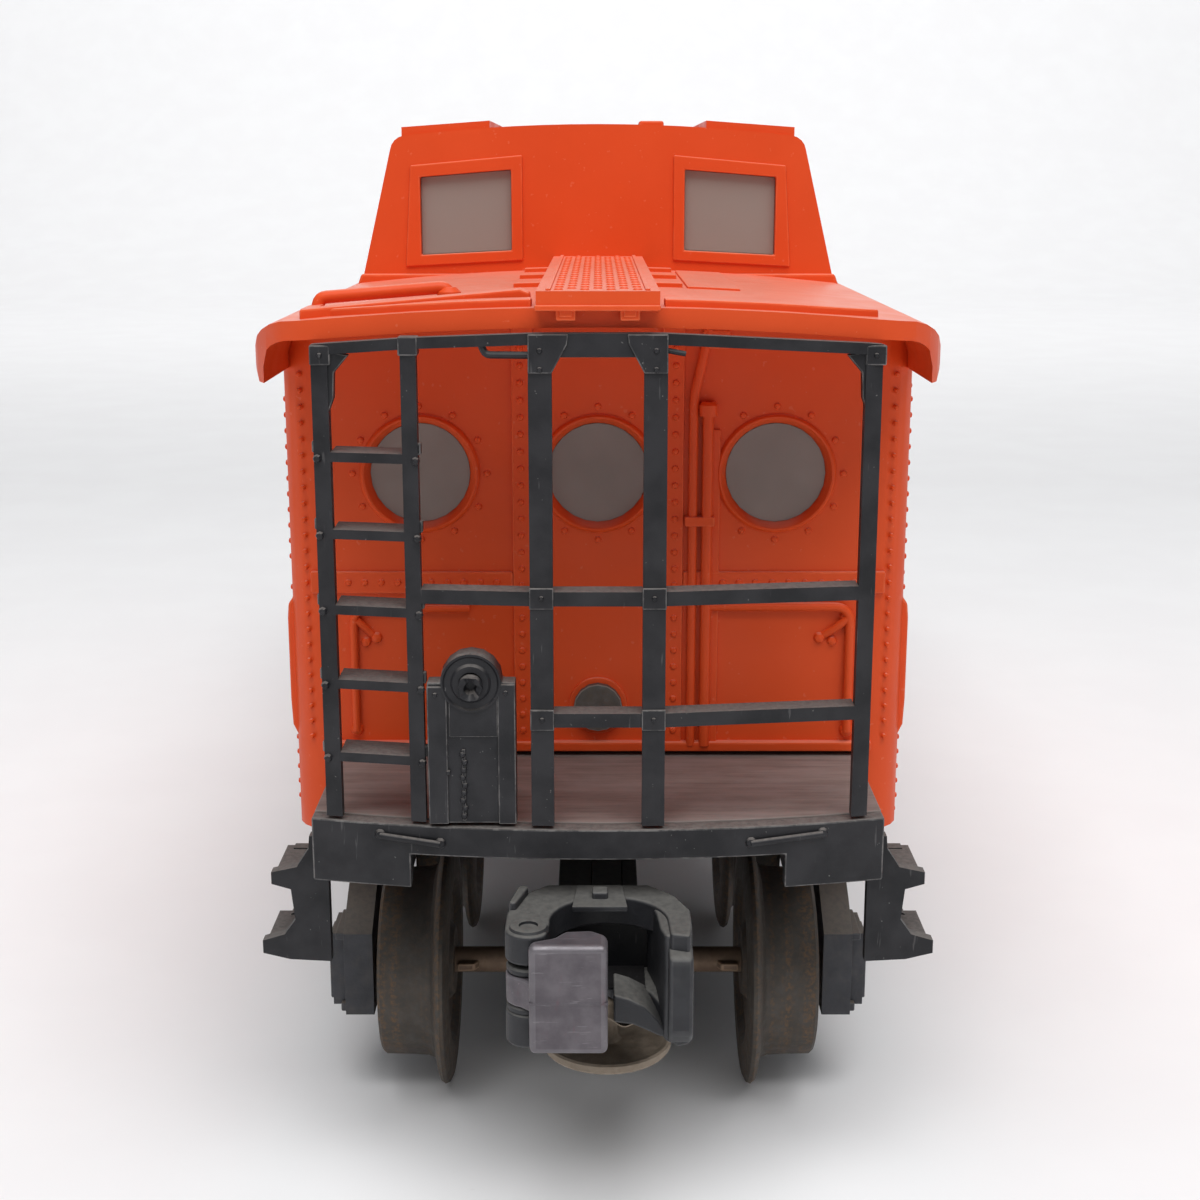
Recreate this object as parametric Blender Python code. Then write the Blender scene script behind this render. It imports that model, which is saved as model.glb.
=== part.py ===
"""Toy-train caboose with round windows: a moulded body shell on a stamped floor,
two end platforms with railings, and two four-wheel trucks that carry knuckle couplers.

World frame: X across the car, Y along it, Z up, with the wheel flanges standing on Z = 0.
The front end is at -Y. Every length below is in millimetres; MM turns it into metres.
"""
import math

import bmesh
import bpy
from mathutils import Matrix, Vector

MM = 0.001
GAP = 0.3                      # clearance between neighbouring pieces

# Car as a whole
SILL_HALF_LENGTH = 91.0        # middle of the car to the corners of the end sill
BODY_HALF_LENGTH = 73.5
BODY_HALF_WIDTH = 29.2
BODY_CORNER_RADIUS = 3.8
SKIRT_BOTTOM = 26.6
WALL = 1.6

# Roof
ROOF_HALF_WIDTH = 29.8
ROOF_CROWN = 77.9
ROOF_DROP = 1.35               # fall of the arch between the crown and its shoulder
ROOF_SHOULDER = 25.0           # half-width where the arch turns down into the eave
ROOF_THICKNESS = 1.6
EAVE_WIDEST = 72.9
EAVE_BOTTOM = 71.0
EAVE_LIP = 1.5                 # thickness of the eave where it hangs clear of the walls
ROOF_CORNER_WIDTH = 9.7        # the roof's plan rounds off over this width
ROOF_CORNER_LENGTH = 12.6
ROOF_BOW = 1.6                 # how far the middle of the roof's end stands past its corners
ROOF_CORNER_END = 90.6
BOARD_HALF_WIDTH = 4.9
BOARD_TOP = 79.3
BOARD_THICKNESS = 1.2
BOARD_OVERHANG = 2.0

# Cupola
CUPOLA_HALF_LENGTH = 34.4
CUPOLA_BASE_HALF_WIDTH = 26.7
CUPOLA_TOP_HALF_WIDTH = 22.8
CUPOLA_BASE = 74.5
CUPOLA_SHOULDER = 90.9
CUPOLA_CROWN = 93.5
CUPOLA_STRIP = (11.9, 21.6)    # inner and outer edge of the raised strips on its roof
CUPOLA_STRIP_TOP = (93.9, 93.2)
CUPOLA_WINDOW = (9.3, 19.8)    # inner and outer edge
CUPOLA_WINDOW_BOTTOM = (79.7, 79.2)
CUPOLA_WINDOW_TOP = (88.9, 88.1)
CUPOLA_SIDE_WINDOW_Z = (79.9, 87.5)
CUPOLA_SIDE_WINDOW_Y = 16.0
CUPOLA_SIDE_WINDOW_HALF = 6.0

SMOKE_JACK = (8.8, 48.0, 0.0)   # beside the running board, behind the cupola

# Round windows
PORTHOLE_RADIUS = 4.9
PORTHOLE_Z = 61.4
END_PORTHOLE_X = 16.4
SIDE_PORTHOLE_Y = (24.0, 54.0)
PANE = 1.0

# Floor and end platforms
FLOOR_BOTTOM = 30.9
FLOOR_TOP = 32.2
DECK_TOP = 34.3
SILL_HALF_WIDTH = 24.7
SILL_BOW = 3.0                 # how far the middle of the sill stands ahead of its corners
SILL_THICKNESS = 1.6
SILL_BOTTOM = 31.6
TAB_INNER = 16.0
TAB_BOTTOM = 28.6
SCREW_Z = 39.2

# Railing and ladder
RAIL_TOP = 76.0
RAIL_THICKNESS = 1.2
RAIL_HEIGHT = 1.2
UPPER_RAIL = 54.9
LOWER_RAIL = 44.5
LADDER_FIRST_RUNG = 40.4
LADDER_PITCH = 6.43
LADDER_RUNGS = 5
RUNG_THICKNESS = 0.8
TREAD_DEPTH = 2.4              # how far each rung stands out behind the posts
RAIL_DEPTH = 1.0               # how far each cross rail stands out behind the posts

# Brake stand, beside the ladder
BRAKE_X = -10.6
BRAKE_HALF_WIDTH = 3.7
BRAKE_TOP = 47.0
BRAKE_FRONT = -93.1
BRAKE_DISC_RADIUS = 2.6

# Trucks
TRUCK_CENTRE = 52.3
WHEELBASE = 37.5
AXLE_Z = 12.0
TREAD_RADIUS = 9.15
FLANGE_RADIUS = 12.0
WHEEL_BACK = 14.2
WHEEL_FACE = 21.0
FLANGE_THICKNESS = 1.3
AXLE_RADIUS = 1.25
JOURNAL_RADIUS = 0.9
JOURNAL_BORE = 1.3
JOURNAL_END = 23.8
FRAME_INNER = 22.0
FRAME_OUTER = 24.8
JOURNAL_OUTER = 26.1
FRAME_BOTTOM = 7.7
BOLSTER_HALF = 4.6
BOLSTER_BOTTOM = 19.5
BOLSTER_TOP = 25.5
KINGPIN_RADIUS = 1.4

# Coupler, in the truck's own frame: distances ahead of the truck's pivot
KNUCKLE_PIN_X = -5.7
KNUCKLE_PIN_AHEAD = 47.9
COUPLER_FACE_AHEAD = 51.3
COUPLER_BOTTOM = 18.1
COUPLER_TOP = 28.2
EAR_HEIGHT = 3.1
EAR_RADIUS = 1.9
PIN_RADIUS = 0.8
GUARD_INNER = 5.6
GUARD_OUTER = 7.75
ARMATURE_AHEAD = 35.9
ARMATURE_X = 0.8
ARMATURE_RADIUS = 5.8
ARMATURE_Z = 12.0
GUARD_BOTTOM = 19.3            # the guard bar is shorter than the head behind it
GUARD_TOP = 26.2

ORANGE = (0.62, 0.085, 0.02)
BLACK = (0.035, 0.038, 0.042)
FROSTED = (0.45, 0.43, 0.40)
STEEL = (0.19, 0.18, 0.17)
ZINC = (0.20, 0.19, 0.20)
DECK_BROWN = (0.12, 0.09, 0.08)


# ---------------------------------------------------------------- outlines

def arc(centre_u, centre_v, radius_u, start, end, steps, radius_v=None):
    """Points along an elliptical arc, angles in degrees."""
    radius_v = radius_u if radius_v is None else radius_v
    points = []
    for step in range(steps + 1):
        angle = math.radians(start + (end - start) * step / steps)
        points.append((centre_u + radius_u * math.cos(angle), centre_v + radius_v * math.sin(angle)))
    return points


def rectangle(low_u, high_u, low_v, high_v):
    return [(low_u, low_v), (high_u, low_v), (high_u, high_v), (low_u, high_v)]


def rounded_rectangle(half_u, half_v, radius, steps=5):
    points = []
    for sign_u, sign_v, start in ((1, 1, 0), (-1, 1, 90), (-1, -1, 180), (1, -1, 270)):
        centre_u = sign_u * (half_u - radius)
        centre_v = sign_v * (half_v - radius)
        points += arc(centre_u, centre_v, radius, start, start + 90, steps)
    return points


def mirrored(half):
    """Close a right-hand half outline, listed bottom to top, with its left-hand mirror."""
    left = [(-u, v) for u, v in reversed(half) if abs(u) > 1e-6]
    return half + left


def roof_arch(lowered, steps=10):
    """Right half of the roof's arch from its shoulder up to the crown."""
    points = []
    for step in range(steps + 1):
        x = ROOF_SHOULDER * (1 - step / steps)
        points.append((x, ROOF_CROWN - lowered - ROOF_DROP * (x / ROOF_SHOULDER) ** 2))
    return points


def eave_curve(inset, steps=6):
    """Right eave from its widest place up to the roof's shoulder."""
    rise = ROOF_CROWN - ROOF_DROP - EAVE_WIDEST
    reach = ROOF_HALF_WIDTH - ROOF_SHOULDER
    curve = arc(ROOF_SHOULDER, EAVE_WIDEST, reach - inset, 0, 90, steps, rise - inset)
    return curve[:-1]


def cupola_half(inset):
    """Right half of the cupola's cross-section, bottom to crown, shrunk by inset."""
    slope = (CUPOLA_BASE_HALF_WIDTH - CUPOLA_TOP_HALF_WIDTH) / (CUPOLA_SHOULDER - CUPOLA_BASE)
    base = CUPOLA_BASE if inset == 0 else EAVE_BOTTOM
    base_half_width = CUPOLA_BASE_HALF_WIDTH - inset + slope * (CUPOLA_BASE - base)
    shoulder_radius = 1.8
    shoulder_x = CUPOLA_TOP_HALF_WIDTH - inset - shoulder_radius
    shoulder_z = CUPOLA_SHOULDER - inset - 0.4
    crown = CUPOLA_CROWN - inset
    points = [(base_half_width, base)]
    points += arc(shoulder_x, shoulder_z, shoulder_radius, 8, 82, 4)
    top_x, top_z = points[-1]
    steps = 7
    for step in range(1, steps + 1):
        x = top_x * (1 - step / steps)
        points.append((x, crown - (crown - top_z) * (x / top_x) ** 2))
    return points


def sill_y(x, behind=0.0):
    """Front face of the bowed end sill at a distance across the car."""
    return -SILL_HALF_LENGTH - SILL_BOW * (1 - (x / SILL_HALF_WIDTH) ** 2) + behind


# ---------------------------------------------------------------- solids

def prism(outline, axis, low, high):
    """Extrude an outline along X, Y or Z. The outline's axes are the other two in order."""
    place = {
        "X": lambda u, v: (low, u, v),
        "Y": lambda u, v: (u, low, v),
        "Z": lambda u, v: (u, v, low),
    }[axis]
    direction = Vector([(high - low) if axis == name else 0.0 for name in "XYZ"])
    mesh = bmesh.new()
    face = mesh.faces.new([mesh.verts.new(place(u, v)) for u, v in outline])
    grown = bmesh.ops.extrude_face_region(mesh, geom=[face])
    moved = [item for item in grown["geom"] if isinstance(item, bmesh.types.BMVert)]
    bmesh.ops.translate(mesh, verts=moved, vec=direction)
    bmesh.ops.recalc_face_normals(mesh, faces=mesh.faces)
    return mesh


def block(x_low, x_high, y_low, y_high, z_low, z_high):
    return prism(rectangle(x_low, x_high, y_low, y_high), "Z", z_low, z_high)


def rod(axis, centre, radius, low, high, sides=16):
    circle = arc(centre[0], centre[1], radius, 0, 360, sides)[:-1]
    return prism(circle, axis, low, high)


def turned(profile, axis, sides):
    """Spin a closed (distance along the axis, radius) outline around X or Z through the origin."""
    mesh = bmesh.new()
    if axis == "X":
        loop = [mesh.verts.new((along, radius, 0)) for along, radius in profile]
        spin_axis = (1, 0, 0)
    else:
        loop = [mesh.verts.new((radius, 0, along)) for along, radius in profile]
        spin_axis = (0, 0, 1)
    edges = [mesh.edges.new((loop[i - 1], loop[i])) for i in range(len(loop))]
    bmesh.ops.spin(mesh, geom=loop + edges, axis=spin_axis, cent=(0, 0, 0), angle=math.tau,
                   steps=sides, use_merge=True, use_duplicate=False)
    bmesh.ops.remove_doubles(mesh, verts=mesh.verts, dist=0.0001)
    bmesh.ops.recalc_face_normals(mesh, faces=mesh.faces)
    return mesh


def temporary(mesh):
    data = bpy.data.meshes.new("scratch")
    mesh.to_mesh(data)
    mesh.free()
    thing = bpy.data.objects.new("scratch", data)
    bpy.context.scene.collection.objects.link(thing)
    return thing


def combine(operation, base, others):
    """Boolean of solids, each consumed; gives the resulting solid."""
    target = temporary(base)
    tools = [temporary(other) for other in others]
    for tool in tools:
        modifier = target.modifiers.new("combine", "BOOLEAN")
        modifier.solver = "EXACT"
        modifier.operation = operation
        modifier.object = tool
    graph = bpy.context.evaluated_depsgraph_get()
    data = bpy.data.meshes.new_from_object(target.evaluated_get(graph))
    result = bmesh.new()
    result.from_mesh(data)
    for thing in [target] + tools:
        bpy.data.objects.remove(thing)
    bmesh.ops.remove_doubles(result, verts=result.verts, dist=0.001)
    bmesh.ops.dissolve_degenerate(result, edges=result.edges, dist=0.001)
    return result


def joined(base, *others):
    return combine("UNION", base, others)


def cut(base, *others):
    return combine("DIFFERENCE", base, others)


def common(base, *others):
    return combine("INTERSECT", base, others)


# ---------------------------------------------------------------- objects

def material(name, colour, roughness, metallic):
    made = bpy.data.materials.get(name)
    if made is None:
        made = bpy.data.materials.new(name)
        made.use_nodes = True
        shader = made.node_tree.nodes["Principled BSDF"]
        shader.inputs["Base Color"].default_value = (*colour, 1.0)
        shader.inputs["Roughness"].default_value = roughness
        shader.inputs["Metallic"].default_value = metallic
    return made


def finish_mesh(name, mesh, surface):
    """Scale a solid to metres, shade it smooth and give it its material."""
    bmesh.ops.scale(mesh, vec=(MM, MM, MM), verts=mesh.verts)
    bmesh.ops.triangulate(mesh, faces=mesh.faces)
    data = bpy.data.meshes.new(name)
    mesh.to_mesh(data)
    mesh.free()
    data.shade_smooth()
    data.set_sharp_from_angle(angle=math.radians(35))
    data.materials.append(surface)
    return data


def empty(name, location=(0, 0, 0), turn=0.0, parent=None):
    made = bpy.data.objects.new(name, None)
    made.location = Vector(location) * MM
    made.rotation_euler = (0, 0, turn)
    made.parent = parent
    bpy.context.scene.collection.objects.link(made)
    return made


def place(name, data, parent=None, location=(0, 0, 0)):
    made = bpy.data.objects.new(name, data)
    made.location = Vector(location) * MM
    made.parent = parent
    bpy.context.scene.collection.objects.link(made)
    return made


# ---------------------------------------------------------------- body shell

def roof_plan():
    """Outline of the roof seen from above: straight sides, rounded corners and bowed ends."""
    corner_x = ROOF_HALF_WIDTH + 0.1 - ROOF_CORNER_WIDTH
    corner_y = ROOF_CORNER_END - ROOF_CORNER_LENGTH
    steps = 6
    plan = []
    for end in (1, -1):
        side = arc(corner_x, corner_y, ROOF_CORNER_WIDTH, 0, 90, 7, ROOF_CORNER_LENGTH)
        for step in range(1, steps):
            x = corner_x * (1 - 2 * step / steps)
            side.append((x, ROOF_CORNER_END + ROOF_BOW * (1 - (x / corner_x) ** 2)))
        side += arc(-corner_x, corner_y, ROOF_CORNER_WIDTH, 90, 180, 7, ROOF_CORNER_LENGTH)
        plan += [(end * x, end * y) for x, y in side]
    return plan


def roof_solid():
    outer = [(ROOF_HALF_WIDTH - 0.9, EAVE_BOTTOM), (ROOF_HALF_WIDTH - 0.25, EAVE_BOTTOM + 0.8)]
    outer += eave_curve(0) + roof_arch(0)
    inner_x = ROOF_HALF_WIDTH - EAVE_LIP
    inner = [(inner_x, EAVE_BOTTOM), (inner_x, EAVE_WIDEST - 0.5)]
    inner += eave_curve(ROOF_THICKNESS)[2:] + roof_arch(ROOF_THICKNESS)
    section = mirrored(outer) + list(reversed(mirrored(inner)))
    reach = ROOF_CORNER_END + ROOF_BOW + 1.0
    return common(prism(section, "Y", -reach, reach),
                  prism(roof_plan(), "Z", EAVE_BOTTOM - 5, ROOF_CROWN + 5))


def wall_solid():
    outside = prism(rounded_rectangle(BODY_HALF_WIDTH, BODY_HALF_LENGTH, BODY_CORNER_RADIUS),
                    "Z", SKIRT_BOTTOM, ROOF_CROWN + 5)
    inside = prism(rounded_rectangle(BODY_HALF_WIDTH - WALL, BODY_HALF_LENGTH - WALL,
                                     BODY_CORNER_RADIUS - WALL),
                   "Z", SKIRT_BOTTOM - 5, ROOF_CROWN + 10)
    walls = cut(outside, inside)
    lowered = ROOF_THICKNESS / 2
    beyond = BODY_HALF_WIDTH + 1
    half = [(beyond, SKIRT_BOTTOM - 1), (beyond, EAVE_BOTTOM + 0.6)]
    half += eave_curve(lowered) + roof_arch(lowered)
    return common(walls, prism(mirrored(half), "Y", -SILL_HALF_LENGTH, SILL_HALF_LENGTH))


def cupola_solids():
    """The cupola's outside, with the raised strips along its roof, and its hollow."""
    reach = CUPOLA_HALF_LENGTH
    outside = prism(mirrored(cupola_half(0)), "Y", -reach, reach)
    inner, outer = CUPOLA_STRIP
    inner_top, outer_top = CUPOLA_STRIP_TOP
    strips = []
    for side in (1, -1):
        outline = [(side * inner, CUPOLA_SHOULDER - 3), (side * outer, CUPOLA_SHOULDER - 3),
                   (side * outer, outer_top), (side * inner, inner_top)]
        strips.append(prism(outline, "Y", -reach + 1.2, reach - 1.2))
    hollow = prism(mirrored(cupola_half(WALL)), "Y", -reach + WALL, reach - WALL)
    return joined(outside, *strips), hollow


def running_board():
    end = ROOF_CORNER_END + ROOF_BOW + BOARD_OVERHANG
    start = CUPOLA_HALF_LENGTH - 0.8
    board = block(-BOARD_HALF_WIDTH, BOARD_HALF_WIDTH, -end, -start,
                  BOARD_TOP - BOARD_THICKNESS, BOARD_TOP)
    saddle = block(-BOARD_HALF_WIDTH + 1.2, BOARD_HALF_WIDTH - 1.2, -SILL_HALF_LENGTH, -start,
                   ROOF_CROWN - 1.0, BOARD_TOP - BOARD_THICKNESS / 2)
    return joined(board, saddle)


def turned_about(mesh, quarter_turns):
    bmesh.ops.rotate(mesh, verts=mesh.verts, cent=(0, 0, 0),
                     matrix=Matrix.Rotation(quarter_turns * math.pi / 2, 3, "Z"))
    return mesh


def porthole_cutters():
    cutters = []
    for end in (1, -1):
        for x in (-END_PORTHOLE_X, 0, END_PORTHOLE_X):
            low, high = sorted((end * (BODY_HALF_LENGTH - 2 * WALL), end * (BODY_HALF_LENGTH + WALL)))
            cutters.append(rod("Y", (x, PORTHOLE_Z), PORTHOLE_RADIUS, low, high, 24))
        low, high = sorted((end * (BODY_HALF_LENGTH - 2 * WALL), end * (BODY_HALF_LENGTH + WALL)))
        cutters.append(rod("Y", (0, SCREW_Z), 1.5, low, high, 12))
    for side in (1, -1):
        low, high = sorted((side * (BODY_HALF_WIDTH - 2 * WALL), side * (BODY_HALF_WIDTH + WALL)))
        for distance in SIDE_PORTHOLE_Y:
            for y in (-distance, distance):
                cutters.append(rod("X", (y, PORTHOLE_Z), PORTHOLE_RADIUS, low, high, 24))
    return cutters


def cupola_window(side, inset):
    """Outline of one end window of the cupola, shrunk by inset: its top rises to the middle."""
    inner, outer = CUPOLA_WINDOW
    inner_bottom, outer_bottom = CUPOLA_WINDOW_BOTTOM
    inner_top, outer_top = CUPOLA_WINDOW_TOP
    return [(side * (inner + inset), inner_bottom + inset), (side * (outer - inset), outer_bottom + inset),
            (side * (outer - inset), outer_top - inset), (side * (inner + inset), inner_top - inset)]


def cupola_window_cutters():
    bottom, top = CUPOLA_SIDE_WINDOW_Z
    half = CUPOLA_SIDE_WINDOW_HALF
    cutters = []
    for end in (1, -1):
        low, high = sorted((end * (CUPOLA_HALF_LENGTH - 2 * WALL), end * (CUPOLA_HALF_LENGTH + WALL)))
        for side in (1, -1):
            cutters.append(prism(cupola_window(side, 0), "Y", low, high))
    for side in (1, -1):
        left, right = sorted((side * (CUPOLA_TOP_HALF_WIDTH - 2.2), side * (CUPOLA_BASE_HALF_WIDTH + 2)))
        for y in (-CUPOLA_SIDE_WINDOW_Y, CUPOLA_SIDE_WINDOW_Y):
            cutters.append(block(left, right, y - half, y + half, bottom, top))
    return cutters


def body_shell():
    cupola, hollow = cupola_solids()
    shell = joined(roof_solid(), wall_solid())
    shell = joined(shell, cupola)
    shell = cut(shell, hollow)
    shell = joined(shell, running_board(), turned_about(running_board(), 2))
    opening_half_width = SILL_HALF_WIDTH + 0.6
    under_wall = [
        block(-opening_half_width, opening_half_width, low, high, SKIRT_BOTTOM - 2, DECK_TOP + GAP)
        for low, high in ((-BODY_HALF_LENGTH - 1, -BODY_HALF_LENGTH + 3),
                          (BODY_HALF_LENGTH - 3, BODY_HALF_LENGTH + 1))
    ]
    return cut(shell, *under_wall, *porthole_cutters(), *cupola_window_cutters())


# ---------------------------------------------------------------- windows

def side_glazing():
    """Inner strip behind one side's round windows, with a raised disc in each window."""
    inner_face = BODY_HALF_WIDTH - WALL - GAP
    strip = block(inner_face - PANE, inner_face, -62, 62, PORTHOLE_Z - 6.4, PORTHOLE_Z + 6.4)
    discs = []
    for distance in SIDE_PORTHOLE_Y:
        for y in (-distance, distance):
            discs.append(rod("X", (y, PORTHOLE_Z), PORTHOLE_RADIUS - GAP, inner_face - 0.5,
                             BODY_HALF_WIDTH - 0.5, 24))
    return joined(strip, *discs)


def end_glazing():
    inner_face = BODY_HALF_LENGTH - WALL - GAP
    strip = block(-24.5, 24.5, -inner_face, -inner_face + PANE, PORTHOLE_Z - 6.4, PORTHOLE_Z + 6.4)
    discs = [rod("Y", (x, PORTHOLE_Z), PORTHOLE_RADIUS - GAP, -BODY_HALF_LENGTH + 0.5,
                 -inner_face + 0.5, 24)
             for x in (-END_PORTHOLE_X, 0, END_PORTHOLE_X)]
    return joined(strip, *discs)


def cupola_end_glazing():
    inner_face = CUPOLA_HALF_LENGTH - WALL - GAP
    strip = block(-20.4, 20.4, -inner_face, -inner_face + PANE,
                  CUPOLA_WINDOW_BOTTOM[1] - 1.2, CUPOLA_WINDOW_TOP[0] + 0.3)
    panes = [prism(cupola_window(side, GAP), "Y", -CUPOLA_HALF_LENGTH + 0.6, -inner_face + 0.5)
             for side in (1, -1)]
    return joined(strip, *panes)


def cupola_side_glazing():
    """Sloping strip inside one side of the cupola."""
    bottom, top = CUPOLA_SIDE_WINDOW_Z
    slope = (CUPOLA_BASE_HALF_WIDTH - CUPOLA_TOP_HALF_WIDTH) / (CUPOLA_SHOULDER - CUPOLA_BASE)

    def inner_wall(z):
        return CUPOLA_BASE_HALF_WIDTH - WALL - GAP - 0.4 - slope * (z - CUPOLA_BASE)

    low = bottom - 2
    high = top + 0.6
    section = [(inner_wall(low) - PANE, low), (inner_wall(low), low),
               (inner_wall(high), high), (inner_wall(high) - PANE, high)]
    strip = prism(section, "Y", -26, 26)
    half = CUPOLA_SIDE_WINDOW_HALF - GAP
    low = bottom + GAP
    high = top - GAP
    pane_section = [(inner_wall(low) - 0.4, low), (inner_wall(low) + 1.5, low),
                    (inner_wall(high) + 1.5, high), (inner_wall(high) - 0.4, high)]
    panes = [prism(pane_section, "Y", y - half, y + half)
             for y in (-CUPOLA_SIDE_WINDOW_Y, CUPOLA_SIDE_WINDOW_Y)]
    return joined(strip, *panes)


# ---------------------------------------------------------------- floor and platforms

def chassis_floor():
    """Stamped floor with a tongue under each deck, a truck boss and a tab for each body screw."""
    inside_half_width = BODY_HALF_WIDTH - WALL - GAP
    tongue_half_width = SILL_HALF_WIDTH - 1.5
    shoulder = BODY_HALF_LENGTH - WALL - 1.5
    tongue_end = SILL_HALF_LENGTH - 2.2
    half = [(inside_half_width, -shoulder), (inside_half_width, shoulder),
            (tongue_half_width, shoulder), (tongue_half_width, tongue_end)]
    outline = half + [(-x, y) for x, y in reversed(half)]
    outline += [(-tongue_half_width, -tongue_end), (tongue_half_width, -tongue_end),
                (tongue_half_width, -shoulder)]
    outline.insert(len(half) * 2, (-tongue_half_width, -shoulder))
    floor = prism(outline, "Z", FLOOR_BOTTOM, FLOOR_TOP)
    additions = [block(-3.5, 3.5, -30, 30, FLOOR_BOTTOM - 3.4, FLOOR_BOTTOM + 0.5)]
    holes = []
    for end in (1, -1):
        wall_inside = BODY_HALF_LENGTH - WALL - GAP
        low, high = sorted((end * (wall_inside - 1.2), end * wall_inside))
        additions.append(block(-6, 6, low, high, FLOOR_TOP - 0.5, SCREW_Z + 4))
        centre = (0, end * TRUCK_CENTRE)
        additions.append(rod("Z", centre, 6.0, FLOOR_TOP - 0.5, FLOOR_TOP + 2.0, 20))
        holes.append(rod("Z", centre, KINGPIN_RADIUS + GAP, FLOOR_BOTTOM - 1, FLOOR_TOP + 4, 12))
        holes.append(rod("Y", (0, SCREW_Z), 1.2, low - 1, high + 1, 12))
    return cut(joined(floor, *additions), *holes)


def platform_deck():
    """Deck plate whose front edge follows the bowed sill."""
    rear = BODY_HALF_LENGTH - WALL + GAP
    steps = 8
    front = []
    for step in range(steps + 1):
        x = SILL_HALF_WIDTH * (1 - 2 * step / steps)
        front.append((x, sill_y(x, SILL_THICKNESS + GAP)))
    outline = front + [(-SILL_HALF_WIDTH, -rear), (SILL_HALF_WIDTH, -rear)]
    return prism(outline, "Z", FLOOR_TOP + GAP, DECK_TOP)


def end_sill():
    """Bowed beam across the platform's end, deeper at its two corner tabs."""
    steps = 12
    front = []
    back = []
    for step in range(steps + 1):
        x = SILL_HALF_WIDTH * (1 - 2 * step / steps)
        front.append((x, sill_y(x)))
        back.append((x, sill_y(x, SILL_THICKNESS)))
    beam = prism(front + list(reversed(back)), "Z", TAB_BOTTOM, DECK_TOP)
    deepest = -SILL_HALF_LENGTH - SILL_BOW - 1
    notch = block(-TAB_INNER, TAB_INNER, deepest, deepest + 10, TAB_BOTTOM - 1, SILL_BOTTOM)
    return cut(beam, notch)


def corner_steps():
    """Right-hand step unit: a front stringer with a zigzag edge and two treads behind it."""
    front = -SILL_HALF_LENGTH + 3.2
    stringer_thickness = 1.2
    inner = 23.9
    tread_inner = 26.0
    upper_tread = 27.4
    lower_tread = 20.9
    upper_reach = 29.0
    lower_reach = 30.0
    outline = [
        (inner, 19.5), (27.6, 19.7), (lower_reach, lower_tread - 0.6), (lower_reach, lower_tread + 0.6),
        (28.0, lower_tread + 1.2), (27.0, 23.5), (27.3, upper_tread - 1.0),
        (upper_reach, upper_tread - 0.5), (upper_reach, upper_tread + 0.6), (26.7, upper_tread + 1.1),
        (25.6, 30.2), (25.5, 31.4), (inner, 31.4),
    ]
    unit = prism(outline, "Y", front, front + stringer_thickness)
    rear = front + 7.2
    rear_plate = [(tread_inner, 19.7), (lower_reach - 1.5, 19.7), (lower_reach - 1.5, lower_tread + 0.5),
                  (tread_inner + 1.1, lower_tread + 1), (tread_inner + 1.1, upper_tread - 1),
                  (upper_reach - 1, upper_tread - 0.6), (upper_reach - 1, upper_tread + 0.5),
                  (tread_inner, upper_tread + 0.5)]
    return joined(
        unit,
        block(tread_inner, lower_reach - 0.3, front + 0.6, rear, lower_tread - 0.6, lower_tread + 0.4),
        block(tread_inner, upper_reach - 0.3, front + 0.6, rear, upper_tread - 0.6, upper_tread + 0.4),
        prism(rear_plate, "Y", rear - 1.0, rear + 0.2),
    )


# ---------------------------------------------------------------- railing

def railing_bars():
    """Uprights and cross bars as (low x, high x, low z, high z, extra depth behind)."""
    bottom = DECK_TOP + GAP
    top = RAIL_TOP
    bars = [
        (-23.3, -21.9, bottom, top, 0.0),
        (-15.9, -14.6, bottom, top, 0.0),
        (-5.6, -3.7, bottom, top, 0.0),
        (3.7, 5.6, bottom, top, 0.0),
        (21.7, 23.1, bottom, top, 0.0),
        (-23.3, 23.1, top - 0.9, top, 0.0),
        (-5.6, 5.6, top - 1.9, top, 0.0),
        (-15.9, 23.1, UPPER_RAIL - RAIL_HEIGHT, UPPER_RAIL, RAIL_DEPTH),
        (-5.6, 23.1, LOWER_RAIL - RAIL_HEIGHT, LOWER_RAIL, RAIL_DEPTH),
    ]
    for rung in range(LADDER_RUNGS):
        height = LADDER_FIRST_RUNG + LADDER_PITCH * rung
        bars.append((-23.3, -14.6, height - RUNG_THICKNESS, height, TREAD_DEPTH))
    return bars


def deepen(mesh, centres, depth):
    """Draw the flat backs of some bars out towards the car."""
    backs = []
    for face in mesh.faces:
        centre = face.calc_center_median()
        on_bar = any(abs(centre.x - c.x) < 0.01 and abs(centre.z - c.z) < 0.01 for c in centres)
        if face.normal.y > 0.9 and on_bar:
            backs.append(face)
    drawn = bmesh.ops.extrude_face_region(mesh, geom=backs)
    verts = [item for item in drawn["geom"] if isinstance(item, bmesh.types.BMVert)]
    bmesh.ops.translate(mesh, verts=verts, vec=(0, depth, 0))
    bmesh.ops.delete(mesh, geom=[face for face in backs if face.is_valid], context="FACES_ONLY")


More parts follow.
